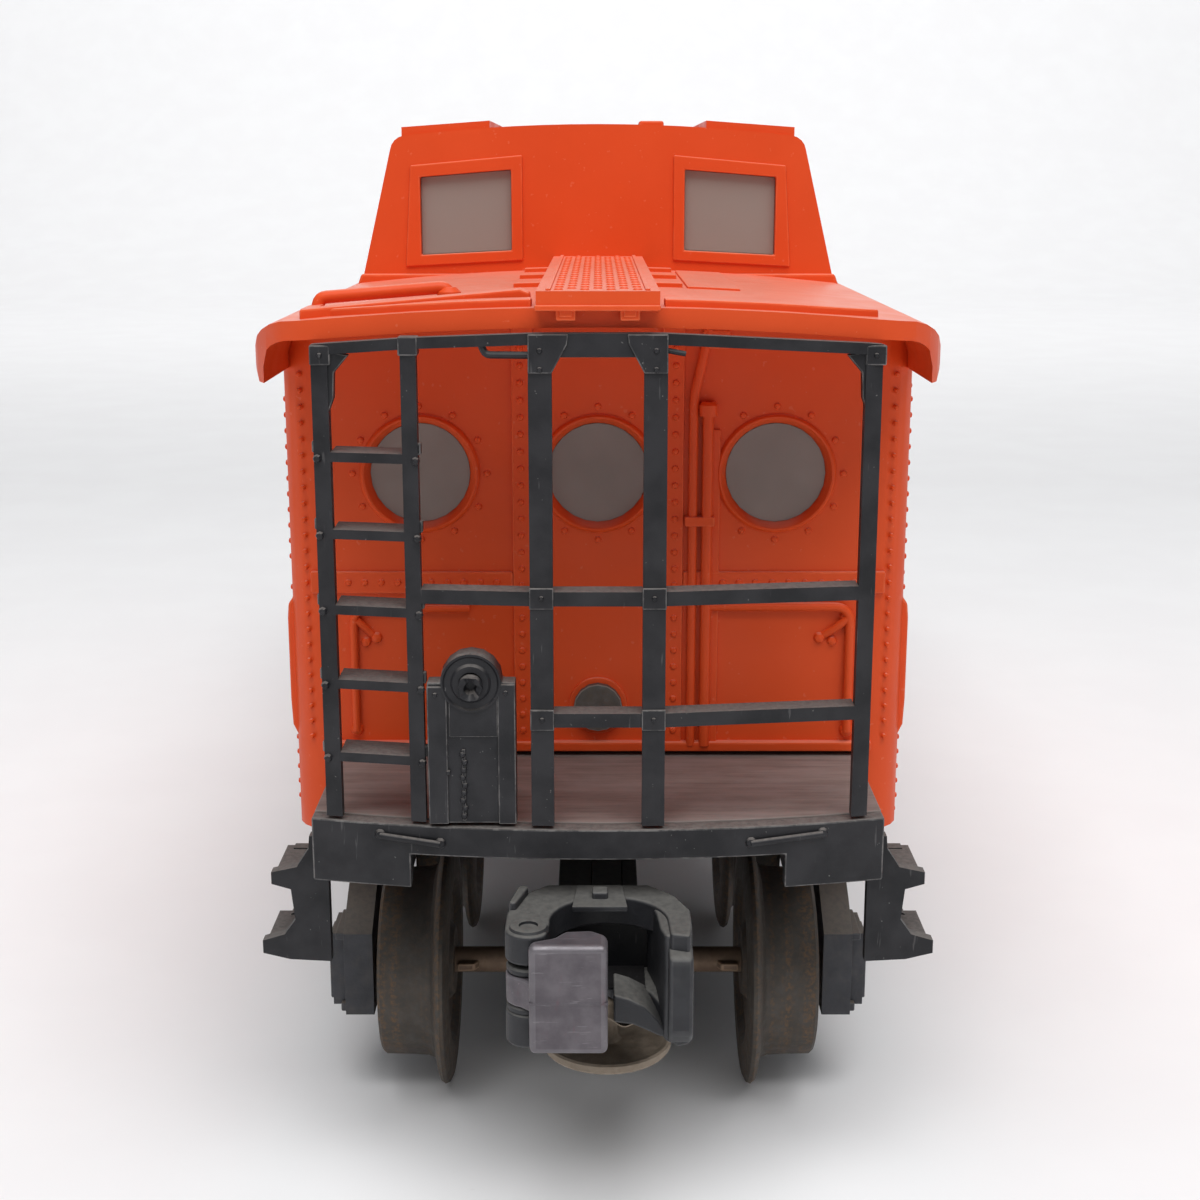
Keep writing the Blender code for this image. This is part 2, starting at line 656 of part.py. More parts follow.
def end_railing():
    """Ladder, portal and rails as one moulding: a flat grille that is then bowed and arched."""
    bars = railing_bars()
    columns = sorted({edge for bar in bars for edge in bar[:2]})
    rows = sorted({round(edge, 4) for bar in bars for edge in bar[2:4]})
    mesh = bmesh.new()
    corners = {}

    def corner(column, row):
        if (column, row) not in corners:
            corners[column, row] = mesh.verts.new((columns[column], 0, rows[row]))
        return corners[column, row]

    deep_places = []
    for column in range(len(columns) - 1):
        x = (columns[column] + columns[column + 1]) / 2
        for row in range(len(rows) - 1):
            z = (rows[row] + rows[row + 1]) / 2
            covering = [bar for bar in bars if bar[0] < x < bar[1] and bar[2] < z < bar[3]]
            if not covering:
                continue
            face = mesh.faces.new([corner(column, row), corner(column + 1, row),
                                   corner(column + 1, row + 1), corner(column, row + 1)])
            depth = min(bar[4] for bar in covering)
            if depth > 0:
                deep_places.append((face.calc_center_median(), depth))
    front = list(mesh.faces)
    grown = bmesh.ops.extrude_face_region(mesh, geom=front, use_keep_orig=True)
    back_verts = [item for item in grown["geom"] if isinstance(item, bmesh.types.BMVert)]
    bmesh.ops.translate(mesh, verts=back_verts, vec=(0, RAIL_THICKNESS, 0))
    bmesh.ops.recalc_face_normals(mesh, faces=mesh.faces)
    for depth in (RAIL_DEPTH, TREAD_DEPTH):
        deepen(mesh, [centre for centre, deep in deep_places if deep == depth], depth)
    bmesh.ops.recalc_face_normals(mesh, faces=mesh.faces)
    for vertex in mesh.verts:
        vertex.co.y += sill_y(vertex.co.x, 0.15)
        if vertex.co.z > RAIL_TOP - 3:
            vertex.co.z -= ROOF_DROP * (vertex.co.x / ROOF_SHOULDER) ** 2
    return mesh


def brake_stand():
    """Flat housing with a half-round top and a round boss that held the brake wheel."""
    low = DECK_TOP + GAP
    outline = [(BRAKE_X - BRAKE_HALF_WIDTH, low), (BRAKE_X + BRAKE_HALF_WIDTH, low),
               (BRAKE_X + BRAKE_HALF_WIDTH, BRAKE_TOP)]
    outline += arc(BRAKE_X, BRAKE_TOP, BRAKE_DISC_RADIUS, 0, 180, 8)
    outline.append((BRAKE_X - BRAKE_HALF_WIDTH, BRAKE_TOP))
    return prism(outline, "Y", BRAKE_FRONT, BRAKE_FRONT + 2.0)


def brake_stub():
    return rod("Y", (BRAKE_X, BRAKE_TOP - 0.2), 0.9, BRAKE_FRONT - GAP - 1.0, BRAKE_FRONT - GAP, 10)


def brake_wheel():
    """Spoked hand wheel on the far end's brake stand."""
    rim = turned([(-0.4, 3.9), (0.4, 3.9), (0.4, 4.7), (-0.4, 4.7)], "Z", 24)
    hub = rod("Z", (0, 0), 1.0, -0.5, 0.9, 12)
    spokes = [block(-4.2, 4.2, -0.35, 0.35, -0.25, 0.25), block(-0.35, 0.35, -4.2, 4.2, -0.25, 0.25)]
    wheel = joined(rim, hub, *spokes)
    bmesh.ops.rotate(wheel, verts=wheel.verts, cent=(0, 0, 0), matrix=Matrix.Rotation(math.pi / 2, 3, "X"))
    centre = (BRAKE_X, BRAKE_FRONT - GAP - 0.5, BRAKE_TOP - 0.2)
    bmesh.ops.translate(wheel, verts=wheel.verts, vec=centre)
    return wheel


def body_screw():
    """Pan-head screw through the end wall into the floor's tab."""
    wall = -BODY_HALF_LENGTH
    head = rod("Y", (0, SCREW_Z), 2.3, wall - GAP - 0.8, wall - GAP, 16)
    shank = rod("Y", (0, SCREW_Z), 0.85, wall - GAP - 0.4, wall + WALL + 3.0, 10)
    return joined(head, shank)


def smoke_jack():
    """Stove pipe with a cap that stands on the roof behind the cupola."""
    foot = ROOF_CROWN + 0.1
    profile = [(foot, 0), (foot, 3.2), (foot + 0.8, 3.2), (foot + 1.2, 2.0), (foot + 8.2, 2.0),
               (foot + 8.4, 3.3), (foot + 9.0, 3.3), (foot + 10.6, 0.9), (foot + 10.6, 0)]
    return turned(profile, "Z", 20)


# ---------------------------------------------------------------- truck

def side_frame(side):
    """One cast side of the truck, with journal boxes and a blind bore at each axle."""
    axle = WHEELBASE / 2
    half = [(0, FRAME_BOTTOM), (6.0, FRAME_BOTTOM), (axle - 3.6, FRAME_BOTTOM + 1.2),
            (axle - 3.5, FRAME_BOTTOM), (axle + 3.5, FRAME_BOTTOM), (axle + 3.5, 16.2),
            (axle - 0.5, 18.8), (8.0, 24.4), (6.4, 26.2), (0, 26.2)]
    outline = half + [(-y, z) for y, z in reversed(half) if y > 0]
    low, high = sorted((side * FRAME_INNER, side * FRAME_OUTER))
    plate = prism(outline, "X", low, high)
    additions = []
    cutters = []
    for end in (1, -1):
        box_low, box_high = sorted((side * (FRAME_OUTER - 0.5), side * JOURNAL_OUTER))
        y_low, y_high = end * axle - 2.6, end * axle + 2.6
        additions.append(block(box_low, box_high, y_low, y_high, AXLE_Z - 3.6, AXLE_Z + 3.9))
        window = [(end * 6.9, 12.2), (end * 13.2, 12.6), (end * 12.6, 16.4), (end * 7.4, 20.6)]
        cutters.append(prism(window, "X", low - 1, high + 1))
        bore_low, bore_high = sorted((side * (FRAME_INNER - 1), side * (JOURNAL_END + GAP)))
        cutters.append(rod("X", (end * axle, AXLE_Z), JOURNAL_BORE, bore_low, bore_high, 16))
    return cut(joined(plate, *additions), *cutters)


def truck_frame():
    """Both side frames and the bolster between them, cast in one piece."""
    bolster = block(-FRAME_INNER - 1, FRAME_INNER + 1, -BOLSTER_HALF, BOLSTER_HALF,
                    BOLSTER_BOTTOM, BOLSTER_TOP)
    centre_plate = rod("Z", (0, 0), 5.0, BOLSTER_TOP - 1, FLOOR_BOTTOM - GAP, 20)
    frame = joined(bolster, centre_plate, side_frame(1), side_frame(-1))
    return cut(frame, rod("Z", (0, 0), KINGPIN_RADIUS + 0.4, BOLSTER_BOTTOM - 1, FLOOR_BOTTOM + 1, 16))


def kingpin():
    """Headed pin that hangs the truck from the floor's boss."""
    head_top = BOLSTER_BOTTOM - GAP
    top = FLOOR_TOP + 2.0
    profile = [(head_top - 1.0, 0), (head_top - 1.0, 2.3), (head_top, 2.5), (head_top, KINGPIN_RADIUS),
               (top + GAP, KINGPIN_RADIUS), (top + GAP, 2.6), (top + 1.0, 2.6), (top + 1.3, 0)]
    return turned(profile, "Z", 16)


def axle():
    """Axle with turned-down journals and two pairs of swaged wings inside the wheels."""
    shoulder = FRAME_INNER - GAP
    profile = [(-JOURNAL_END, 0), (-JOURNAL_END, JOURNAL_RADIUS), (-shoulder, JOURNAL_RADIUS),
               (-shoulder, AXLE_RADIUS), (shoulder, AXLE_RADIUS), (shoulder, JOURNAL_RADIUS),
               (JOURNAL_END, JOURNAL_RADIUS), (JOURNAL_END, 0)]
    wings = []
    for side in (1, -1):
        low, high = sorted((side * 11.9, side * (WHEEL_BACK - GAP)))
        wings.append(block(low, high, -AXLE_RADIUS - 0.9, AXLE_RADIUS + 0.9, -0.35, 0.35))
    return joined(turned(profile, "X", 14), *wings)


def wheel():
    """Flanged wheel on the +X side, with a dished face and a hub."""
    bore = AXLE_RADIUS + GAP
    back = WHEEL_BACK
    face = WHEEL_FACE
    profile = [
        (back, bore), (face - 1.2, bore), (face - 1.2, 3.4), (face - 2.6, 4.2), (face - 2.6, 6.6),
        (face, 7.6), (face, TREAD_RADIUS), (back + FLANGE_THICKNESS + 0.4, TREAD_RADIUS + 0.2),
        (back + FLANGE_THICKNESS, TREAD_RADIUS + 1.0), (back + FLANGE_THICKNESS - 0.4, FLANGE_RADIUS),
        (back + 0.2, FLANGE_RADIUS), (back, FLANGE_RADIUS - 0.6),
    ]
    return turned(profile, "X", 24)


# ---------------------------------------------------------------- coupler

def coupler_head():
    """Drawbar under the bolster and a C-shaped head with two ears for the knuckle's pin."""
    pin_y = -KNUCKLE_PIN_AHEAD
    face = -COUPLER_FACE_AHEAD
    throat_y = pin_y + 2.2
    ear = arc(KNUCKLE_PIN_X, pin_y, EAR_RADIUS, 180, 330, 6)
    throat = arc(1.6, throat_y, 4.0, 180, 90, 4, 2.2)
    throat += arc(1.6, throat_y, 4.0, 90, 0, 4, 2.2)[1:]
    back = throat_y + 5.6
    plan = ear + throat
    plan += [(GUARD_INNER, face + 1.2), (GUARD_OUTER - 0.6, face + 0.6), (GUARD_OUTER, face + 1.4),
             (GUARD_OUTER, back - 4.6), (4.6, back + 1.4), (-4.6, back + 1.4),
             (KNUCKLE_PIN_X - EAR_RADIUS, back - 4.6)]
    jaws = prism(plan, "Z", COUPLER_BOTTOM, COUPLER_TOP)
    slot = block(KNUCKLE_PIN_X - 4, 1.0, face - 1, throat_y + 2.6,
                 COUPLER_BOTTOM + EAR_HEIGHT, COUPLER_TOP - EAR_HEIGHT)
    bore = rod("Z", (KNUCKLE_PIN_X, pin_y), PIN_RADIUS + GAP, COUPLER_BOTTOM - 1, COUPLER_TOP + 1, 12)
    neck = block(-3.6, 3.6, back, -12.0, 20.0, 25.2)
    tongue = block(-3.6, 3.6, -12.5, BOLSTER_HALF, 16.2, BOLSTER_BOTTOM - GAP)
    drop = block(-3.6, 3.6, -16.0, -12.0, 16.2, 25.2)
    peg = block(-0.8, 0.8, back - 3.0, back - 1.4, COUPLER_TOP - 0.5, COUPLER_TOP + 1.0)
    stem_bore = rod("Z", (ARMATURE_X, -ARMATURE_AHEAD), 1.3, 15, 26.5, 12)
    head_room = rod("Z", (0, 0), 2.9, 15, BOLSTER_BOTTOM, 16)
    above_guard = block(4.2, 9, face - 1, pin_y + 1.0, GUARD_TOP, COUPLER_TOP + 1)
    below_guard = block(4.2, 9, face - 1, pin_y + 1.0, COUPLER_BOTTOM - 1, GUARD_BOTTOM)
    return cut(joined(jaws, neck, drop, tongue, peg), slot, bore, stem_bore, head_room,
               above_guard, below_guard)


def knuckle():
    """Hooked jaw about its pin: a tall pulling face and a flat tail between the ears."""
    ahead = COUPLER_FACE_AHEAD - KNUCKLE_PIN_AHEAD
    face = -ahead
    right = 0.8 - KNUCKLE_PIN_X
    outline = [(0.1, face), (right - 0.5, face), (right, face + 0.5), (right, face + 2.4),
               (right - 1.4, face + 3.6), (2.9, face + 3.4), (2.5, face + 1.2), (0.1, face + 1.2)]
    hook = prism(outline, "Z", 18.5, 28.0)
    low = COUPLER_BOTTOM + EAR_HEIGHT + GAP
    high = COUPLER_TOP - EAR_HEIGHT - GAP
    tail = [(0.4, face + 0.6), (4.0, face + 1.0), (4.2, 0.6)]
    tail += arc(0, 0, EAR_RADIUS, 60, 250, 8)
    solid = joined(hook, prism(tail, "Z", low, high))
    return cut(solid, rod("Z", (0, 0), PIN_RADIUS + GAP, low - 1, high + 1, 12))


def knuckle_pin():
    low = COUPLER_BOTTOM + 0.2
    high = COUPLER_TOP - 0.4
    return rod("Z", (0, 0), PIN_RADIUS, low, high, 12)


def armature_disc():
    """Round iron disc on a stem that slides in the drawbar."""
    profile = [(ARMATURE_Z - 0.5, 0), (ARMATURE_Z - 0.5, ARMATURE_RADIUS - 0.3),
               (ARMATURE_Z - 0.2, ARMATURE_RADIUS), (ARMATURE_Z + 0.5, ARMATURE_RADIUS),
               (ARMATURE_Z + 0.5, 1.0), (24.4, 1.0), (24.4, 0)]
    return turned(profile, "Z", 28)


# ---------------------------------------------------------------- assembly

def remove_everything():
    for thing in list(bpy.data.objects):
        bpy.data.objects.remove(thing)


def build():
    remove_everything()
    orange = material("orange_shell", ORANGE, 0.45, 0.0)
    black = material("black_plastic", BLACK, 0.5, 0.0)
    frosted = material("frosted_window", FROSTED, 0.4, 0.0)
    steel = material("wheel_steel", STEEL, 0.45, 0.8)
    dark_zinc = material("truck_casting", BLACK, 0.55, 0.3)
    zinc = material("knuckle_zinc", ZINC, 0.45, 0.7)
    deck_brown = material("deck", DECK_BROWN, 0.8, 0.0)
    painted_steel = material("floor_steel", BLACK, 0.5, 0.4)

    place("body_shell", finish_mesh("body_shell", body_shell(), orange))
    place("chassis_floor", finish_mesh("chassis_floor", chassis_floor(), painted_steel))

    ends = {"front": empty("front_end"), "rear": empty("rear_end", turn=math.pi)}
    sides = {"right": ends["front"], "left": ends["rear"]}
    side_pane = finish_mesh("side_glazing", side_glazing(), frosted)
    cupola_side_pane = finish_mesh("cupola_side_glazing", cupola_side_glazing(), frosted)
    for side, parent in sides.items():
        place("side_glazing_" + side, side_pane, parent)
        place("cupola_glazing_" + side, cupola_side_pane, parent)

    shared = {
        "end_glazing": (end_glazing(), frosted),
        "cupola_glazing": (cupola_end_glazing(), frosted),
        "platform_deck": (platform_deck(), deck_brown),
        "end_sill": (end_sill(), black),
        "end_railing": (end_railing(), black),
        "brake_stand": (brake_stand(), black),
        "body_screw": (body_screw(), steel),
    }
    shared = {name: finish_mesh(name, mesh, surface) for name, (mesh, surface) in shared.items()}
    right_steps = corner_steps()
    left_steps = right_steps.copy()
    bmesh.ops.scale(left_steps, vec=(-1, 1, 1), verts=left_steps.verts)
    bmesh.ops.reverse_faces(left_steps, faces=left_steps.faces)
    steps = {"right": finish_mesh("steps_right", right_steps, black),
             "left": finish_mesh("steps_left", left_steps, black)}
    for end, parent in ends.items():
        for name, data in shared.items():
            place(name + "_" + end, data, parent)
        for side, data in steps.items():
            place("corner_steps_" + end + "_" + side, data, parent)
    place("brake_wheel_stub_front", finish_mesh("brake_stub", brake_stub(), black), ends["front"])
    place("brake_wheel_rear", finish_mesh("brake_wheel", brake_wheel(), black), ends["rear"])
    place("smoke_jack", finish_mesh("smoke_jack", smoke_jack(), black), location=SMOKE_JACK)

    pivots = {end: empty(end + "_truck_pivot", (0, -TRUCK_CENTRE, 0), parent=parent)
              for end, parent in ends.items()}
    truck_parts = {
        "truck_frame": (truck_frame(), dark_zinc),
        "kingpin": (kingpin(), steel),
        "coupler_head": (coupler_head(), dark_zinc),
    }
    truck_parts = {name: finish_mesh(name, mesh, surface)
                   for name, (mesh, surface) in truck_parts.items()}
    knuckle_data = finish_mesh("knuckle", knuckle(), zinc)
    pin_data = finish_mesh("knuckle_pin", knuckle_pin(), steel)
    armature_data = finish_mesh("armature_disc", armature_disc(), steel)
    axle_data = finish_mesh("axle", axle(), steel)
    right_wheel = wheel()
    left_wheel = right_wheel.copy()
    bmesh.ops.scale(left_wheel, vec=(-1, 1, 1), verts=left_wheel.verts)
    bmesh.ops.reverse_faces(left_wheel, faces=left_wheel.faces)
    wheels = {"right": finish_mesh("wheel_right", right_wheel, steel),
              "left": finish_mesh("wheel_left", left_wheel, steel)}
    for end, pivot in pivots.items():
        for name, data in truck_parts.items():
            place(name + "_" + end, data, pivot)
        hinge = (KNUCKLE_PIN_X, -KNUCKLE_PIN_AHEAD, 0)
        place("knuckle_" + end, knuckle_data, pivot, hinge)
        place("knuckle_pin_" + end, pin_data, pivot, hinge)
        place("armature_disc_" + end, armature_data, pivot, (ARMATURE_X, -ARMATURE_AHEAD, 0))
        for position, offset in (("outer", -WHEELBASE / 2), ("inner", WHEELBASE / 2)):
            spin = empty(end + "_" + position + "_axle_line", (0, offset, AXLE_Z), parent=pivot)
            place("axle_" + end + "_" + position, axle_data, spin)
            for side, data in wheels.items():
                place("wheel_" + end + "_" + position + "_" + side, data, spin)


build()
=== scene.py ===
"""Looks for the model caboose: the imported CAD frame, dressed with soft moulded edges,
rivets, window bezels, pipes, grab irons, turned wheels and worn, dusty materials.

Shapes are written in millimetres in the CAD's own frame (X across, Y along, Z up, the
front end at -Y) and turned into metres when an object is made.
"""

import math
import random

import bmesh
import bpy
from mathutils import Matrix, Vector


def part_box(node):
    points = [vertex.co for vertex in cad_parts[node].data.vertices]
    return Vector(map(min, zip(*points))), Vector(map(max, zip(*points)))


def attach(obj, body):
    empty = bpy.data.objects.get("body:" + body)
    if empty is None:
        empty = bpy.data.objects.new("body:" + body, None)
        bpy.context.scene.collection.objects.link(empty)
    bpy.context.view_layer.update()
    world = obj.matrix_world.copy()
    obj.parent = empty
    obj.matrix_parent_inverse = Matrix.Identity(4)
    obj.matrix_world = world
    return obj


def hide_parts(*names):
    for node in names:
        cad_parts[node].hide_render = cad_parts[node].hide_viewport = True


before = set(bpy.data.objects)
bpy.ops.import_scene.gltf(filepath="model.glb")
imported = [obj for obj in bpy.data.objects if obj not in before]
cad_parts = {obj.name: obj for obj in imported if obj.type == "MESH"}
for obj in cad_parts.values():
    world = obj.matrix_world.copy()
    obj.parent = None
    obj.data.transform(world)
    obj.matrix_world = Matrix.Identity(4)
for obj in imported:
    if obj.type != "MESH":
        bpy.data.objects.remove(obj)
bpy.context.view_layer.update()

MM = 0.001
FULL_TURN = math.tau
AHEAD = (0, -1, 0)
OUTWARD = (1, 0, 0)
random.seed(7)


def top_of(node):
    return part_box(node)[1] / MM


def bottom_of(node):
    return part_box(node)[0] / MM


# Driving places
BODY_HALF_LENGTH = 73.5
BODY_HALF_WIDTH = 29.2
ROOF_CROWN = 77.9
ROOF_DROP = 1.35
ROOF_SHOULDER = 25.0
ROOF_CORNER_X = 20.2
ROOF_CORNER_END = 90.6
ROOF_BOW = 1.6
BOARD_TOP = 79.3
BOARD_HALF_WIDTH = 4.9
BOARD_END = 94.2
SILL_HALF_LENGTH = 91.0
SILL_HALF_WIDTH = top_of("end_sill_front").x
SILL_BOW = 3.0
TRUCK_CENTRE = 52.3
HALF_WHEELBASE = 18.75
AXLE_Z = 12.0
CUPOLA_HALF_LENGTH = 34.4
PORTHOLE_Z = 61.4
END_PORTHOLE_X = 16.4
SIDE_PORTHOLE_Y = (24.0, 54.0)
COUPLER_PIN_X = -5.7
COUPLER_PIN_Y = -47.9
ARMATURE_AXIS = (0.8, -35.9, 0)
BEZEL_INNER = 4.6
BEZEL_OUTER = 5.5


def sill_y(x):
    """Front face of the bowed sill, on the front end."""
    return -SILL_HALF_LENGTH - SILL_BOW * (1 - (x / SILL_HALF_WIDTH) ** 2)


def roof_z(x):
    return ROOF_CROWN - ROOF_DROP * (x / ROOF_SHOULDER) ** 2


def roof_end(x):
    """Front edge of the roof, on the front end."""
    return -ROOF_CORNER_END - ROOF_BOW * (1 - (x / ROOF_CORNER_X) ** 2)


# ---------------------------------------------------------------- camera, light and stage

def add_object(name, data):
    made = bpy.data.objects.new(name, data)
    bpy.context.scene.collection.objects.link(made)
    return made


def make_camera():
    """Level with the cupola's windows, 14 cm ahead of the sill, looking 13.4 degrees down."""
    data = bpy.data.cameras.new("camera")
    data.lens = 53.85
    data.sensor_width = 36.0
    data.shift_x = 0.0017
    data.clip_start = 0.01
    camera = add_object("camera", data)
    camera.location = Vector((0, -237.0, 88.4)) * MM
    camera.rotation_euler = (math.radians(90 - 13.41), 0, 0)
    bpy.context.scene.camera = camera


def area_light(name, location, target, size, power, colour=(1, 1, 1)):
    data = bpy.data.lights.new(name, "AREA")
    data.shape = "RECTANGLE"
    data.size, data.size_y = size
    data.energy = power
    data.color = colour
    light = add_object(name, data)
    light.location = location
    direction = Vector(target) - Vector(location)
    light.rotation_euler = direction.to_track_quat("-Z", "Y").to_euler()


def make_stage():
    """A pale sheet that runs up into a backdrop, soft overhead light and an even surround."""
    bpy.context.scene.view_settings.view_transform = "Standard"
    mesh = bmesh.new()
    half_width = 4.0
    near = -3.0
    bend_start = 1.0
    bend = 0.5
    height = 1.6
    path = [(near, 0.0), (bend_start, 0.0)]
    steps = 12
    for step in range(1, steps + 1):
        angle = math.pi / 2 * step / steps
        path.append((bend_start + bend * math.sin(angle), bend * (1 - math.cos(angle))))
    path.append((bend_start + bend, height))
    rows = []
    for y, z in path:
        rows.append([mesh.verts.new((x, y, z - 0.0002)) for x in (-half_width, half_width)])
    for low, high in zip(rows, rows[1:]):
        mesh.faces.new([low[0], low[1], high[1], high[0]])
    data = bpy.data.meshes.new("floor_sheet")
    mesh.to_mesh(data)
    mesh.free()
    data.shade_smooth()
    data.materials.append(paper_material())
    add_object("floor_sheet", data)

    world = bpy.data.worlds.new("surround")
    world.use_nodes = True
    background = world.node_tree.nodes["Background"]
    background.inputs["Color"].default_value = (0.93, 0.96, 1.0, 1)
    background.inputs["Strength"].default_value = 0.235
    bpy.context.scene.world = world
    area_light("overhead", (0.05, -0.48, 1.1), (0, -0.08, 0.03), (1.2, 0.95), 15.5)
    area_light("backdrop_wash", (0, 0.55, 0.85), (0, 1.5, 0.55), (2.2, 0.4), 10.5)
    area_light("front_soft", (0, -0.95, 0.9), (0, -0.12, 0.02), (1.2, 0.5), 1.2)


# ---------------------------------------------------------------- materials

class Nodes:
    """A short way to wire a procedural material."""

    def __init__(self, name, roughness, metallic=0.0, gloss=0.5):
        self.material = bpy.data.materials.new(name)
        self.material.use_nodes = True
        self.tree = self.material.node_tree
        self.shader = self.tree.nodes["Principled BSDF"]
        self.shader.inputs["Roughness"].default_value = roughness
        self.shader.inputs["Metallic"].default_value = metallic
        self.shader.inputs["Specular IOR Level"].default_value = gloss
        self.place = self.tree.nodes.new("ShaderNodeTexCoord").outputs["Object"]

    def link(self, source, target):
        self.tree.links.new(source, target)

    def value(self, operation, first, second=0.0, clamp=False):
        node = self.tree.nodes.new("ShaderNodeMath")
        node.operation = operation
        node.use_clamp = clamp
        for socket, item in zip(node.inputs, (first, second)):
            if isinstance(item, (int, float)):
                socket.default_value = item
            else:
                self.link(item, socket)
        return node.outputs[0]

    def times(self, first, second):
        return self.value("MULTIPLY", first, second)

    def noise(self, size_mm, detail=3.0, roughness=0.55, stretch=(1, 1, 1)):
        """Noise whose blobs are about size_mm across, stretched along an axis."""
        mapping = self.tree.nodes.new("ShaderNodeMapping")
        scale = 1 / (size_mm * MM)
        mapping.inputs["Scale"].default_value = [scale / s for s in stretch]
        self.link(self.place, mapping.inputs["Vector"])
        node = self.tree.nodes.new("ShaderNodeTexNoise")
        node.inputs["Scale"].default_value = 1.0
        node.inputs["Detail"].default_value = detail
        node.inputs["Roughness"].default_value = roughness
        self.link(mapping.outputs[0], node.inputs["Vector"])
        return node.outputs["Fac"]

    def ramp(self, source, low, high, out_low=0.0, out_high=1.0):
        node = self.tree.nodes.new("ShaderNodeMapRange")
        node.interpolation_type = "SMOOTHSTEP"
        limits = {"From Min": low, "From Max": high, "To Min": out_low, "To Max": out_high}
        for name, limit in limits.items():
            node.inputs[name].default_value = limit
        self.link(source, node.inputs["Value"])
        return node.outputs["Result"]

    def facing_up(self, low=0.35, high=0.95):
        """One on surfaces that face the sky, zero on walls and undersides."""
        geometry = self.tree.nodes.new("ShaderNodeNewGeometry")
        split = self.tree.nodes.new("ShaderNodeSeparateXYZ")
        self.link(geometry.outputs["Normal"], split.inputs[0])
        return self.ramp(split.outputs["Z"], low, high)

    def worn_edges(self):
        node = self.tree.nodes.new("ShaderNodeAttribute")
        node.attribute_name = "wear"
        return node.outputs["Fac"]

    def mix(self, amount, first, second):
        node = self.tree.nodes.new("ShaderNodeMix")
        node.data_type = "RGBA"
        for socket, item in ((node.inputs[0], amount), (node.inputs[6], first),
                (node.inputs[7], second)):
            if isinstance(item, tuple):
                socket.default_value = (*item, 1.0)
            elif isinstance(item, (int, float)):
                socket.default_value = item
            else:
                self.link(item, socket)
        return node.outputs[2]

    def colour(self, source):
        self.link(source, self.shader.inputs["Base Color"])

    def roughness(self, source):
        self.link(source, self.shader.inputs["Roughness"])

    def rubbed(self, amount, base, bare):
        """The bare colour where edges are worn."""
        return self.mix(self.times(self.worn_edges(), amount), base, bare)

    def bump(self, height, distance_mm, strength=1.0):
        node = self.tree.nodes.new("ShaderNodeBump")
        node.inputs["Distance"].default_value = distance_mm * MM
        node.inputs["Strength"].default_value = strength
        self.link(height, node.inputs["Height"])
        self.link(node.outputs[0], self.shader.inputs["Normal"])


def paper_material():
    made = Nodes("pale_sheet", 0.9)
    mottle = made.noise(25, 4)
    base = made.mix(made.ramp(mottle, 0.35, 0.7), (0.835, 0.83, 0.835), (0.850, 0.848, 0.852))
    grit = made.ramp(made.noise(1.3, 2), 0.74, 0.80, 0.0, 0.12)
    made.colour(made.mix(grit, base, (0.62, 0.60, 0.57)))
    return made.material


def orange_material():
    """Moulded orange plastic: faint flow mottle, dust mixed with a painted sheen where it faces up,
    paler on rubbed edges.
    """
    made = Nodes("orange_shell", 0.42, gloss=0.22)
    mottle = made.ramp(made.noise(9, 4), 0.3, 0.75)
    base = made.mix(mottle, (0.725, 0.078, 0.0145), (0.76, 0.085, 0.0165))
    speck = made.ramp(made.noise(0.55, 2, 0.4), 0.71, 0.76)
    base = made.mix(made.times(speck, 0.12), base, (0.90, 0.45, 0.30))
    # Pale pink on up-facing surfaces: partly dust, partly a painted sheen standing in for the top
    # light's reflection.
    dust = made.times(made.facing_up(0.7, 1.0), made.ramp(made.noise(3.5, 5), 0.2, 0.8, 0.28, 0.38))
    base = made.mix(dust, base, (0.82, 0.50, 0.40))
    base = made.rubbed(made.ramp(made.noise(2.5, 3), 0.35, 0.7, 0.05, 0.35), base,
        (0.86, 0.20, 0.08))
    made.colour(base)
    rough = made.ramp(made.noise(5, 4), 0.25, 0.8, 0.36, 0.52)
    made.roughness(rough)
    made.bump(made.noise(0.35, 3), 0.02, 0.5)
    return made.material


def black_material(name="black_plastic", base_dark=(0.0095, 0.0095, 0.0115),
        base_light=(0.024, 0.0235, 0.0265), dust_amount=0.78, wear=0.45):
    """Black plastic with grey dust on ledges, pale scuffed corners and tiny pale specks."""
    made = Nodes(name, 0.5, gloss=0.32)
    base = made.mix(made.ramp(made.noise(4, 4), 0.3, 0.7), base_dark, base_light)
    scratches = made.ramp(made.noise(0.5, 3, 0.6, (1, 1, 9)), 0.66, 0.74)
    base = made.mix(made.times(scratches, 0.22), base, (0.22, 0.21, 0.21))
    speck = made.ramp(made.noise(0.3, 1), 0.77, 0.80)
    base = made.mix(made.times(speck, 0.3), base, (0.40, 0.39, 0.37))
    base = made.rubbed(made.ramp(made.noise(1.4, 4, 0.7), 0.40, 0.62, 0.12, wear), base,
        (0.30, 0.285, 0.275))
    grit = made.ramp(made.noise(0.42, 4, 0.7), 0.25, 0.7, 0.45, 1.0)
    dust = made.times(made.facing_up(0.45, 0.95), made.times(grit, dust_amount))
    base = made.mix(dust, base, (0.200, 0.180, 0.166))
    made.colour(base)
    made.roughness(made.value("ADD", 0.46, made.times(dust, 0.45)))
    made.bump(made.noise(0.28, 4, 0.7), 0.03, 0.6)
    return made.material


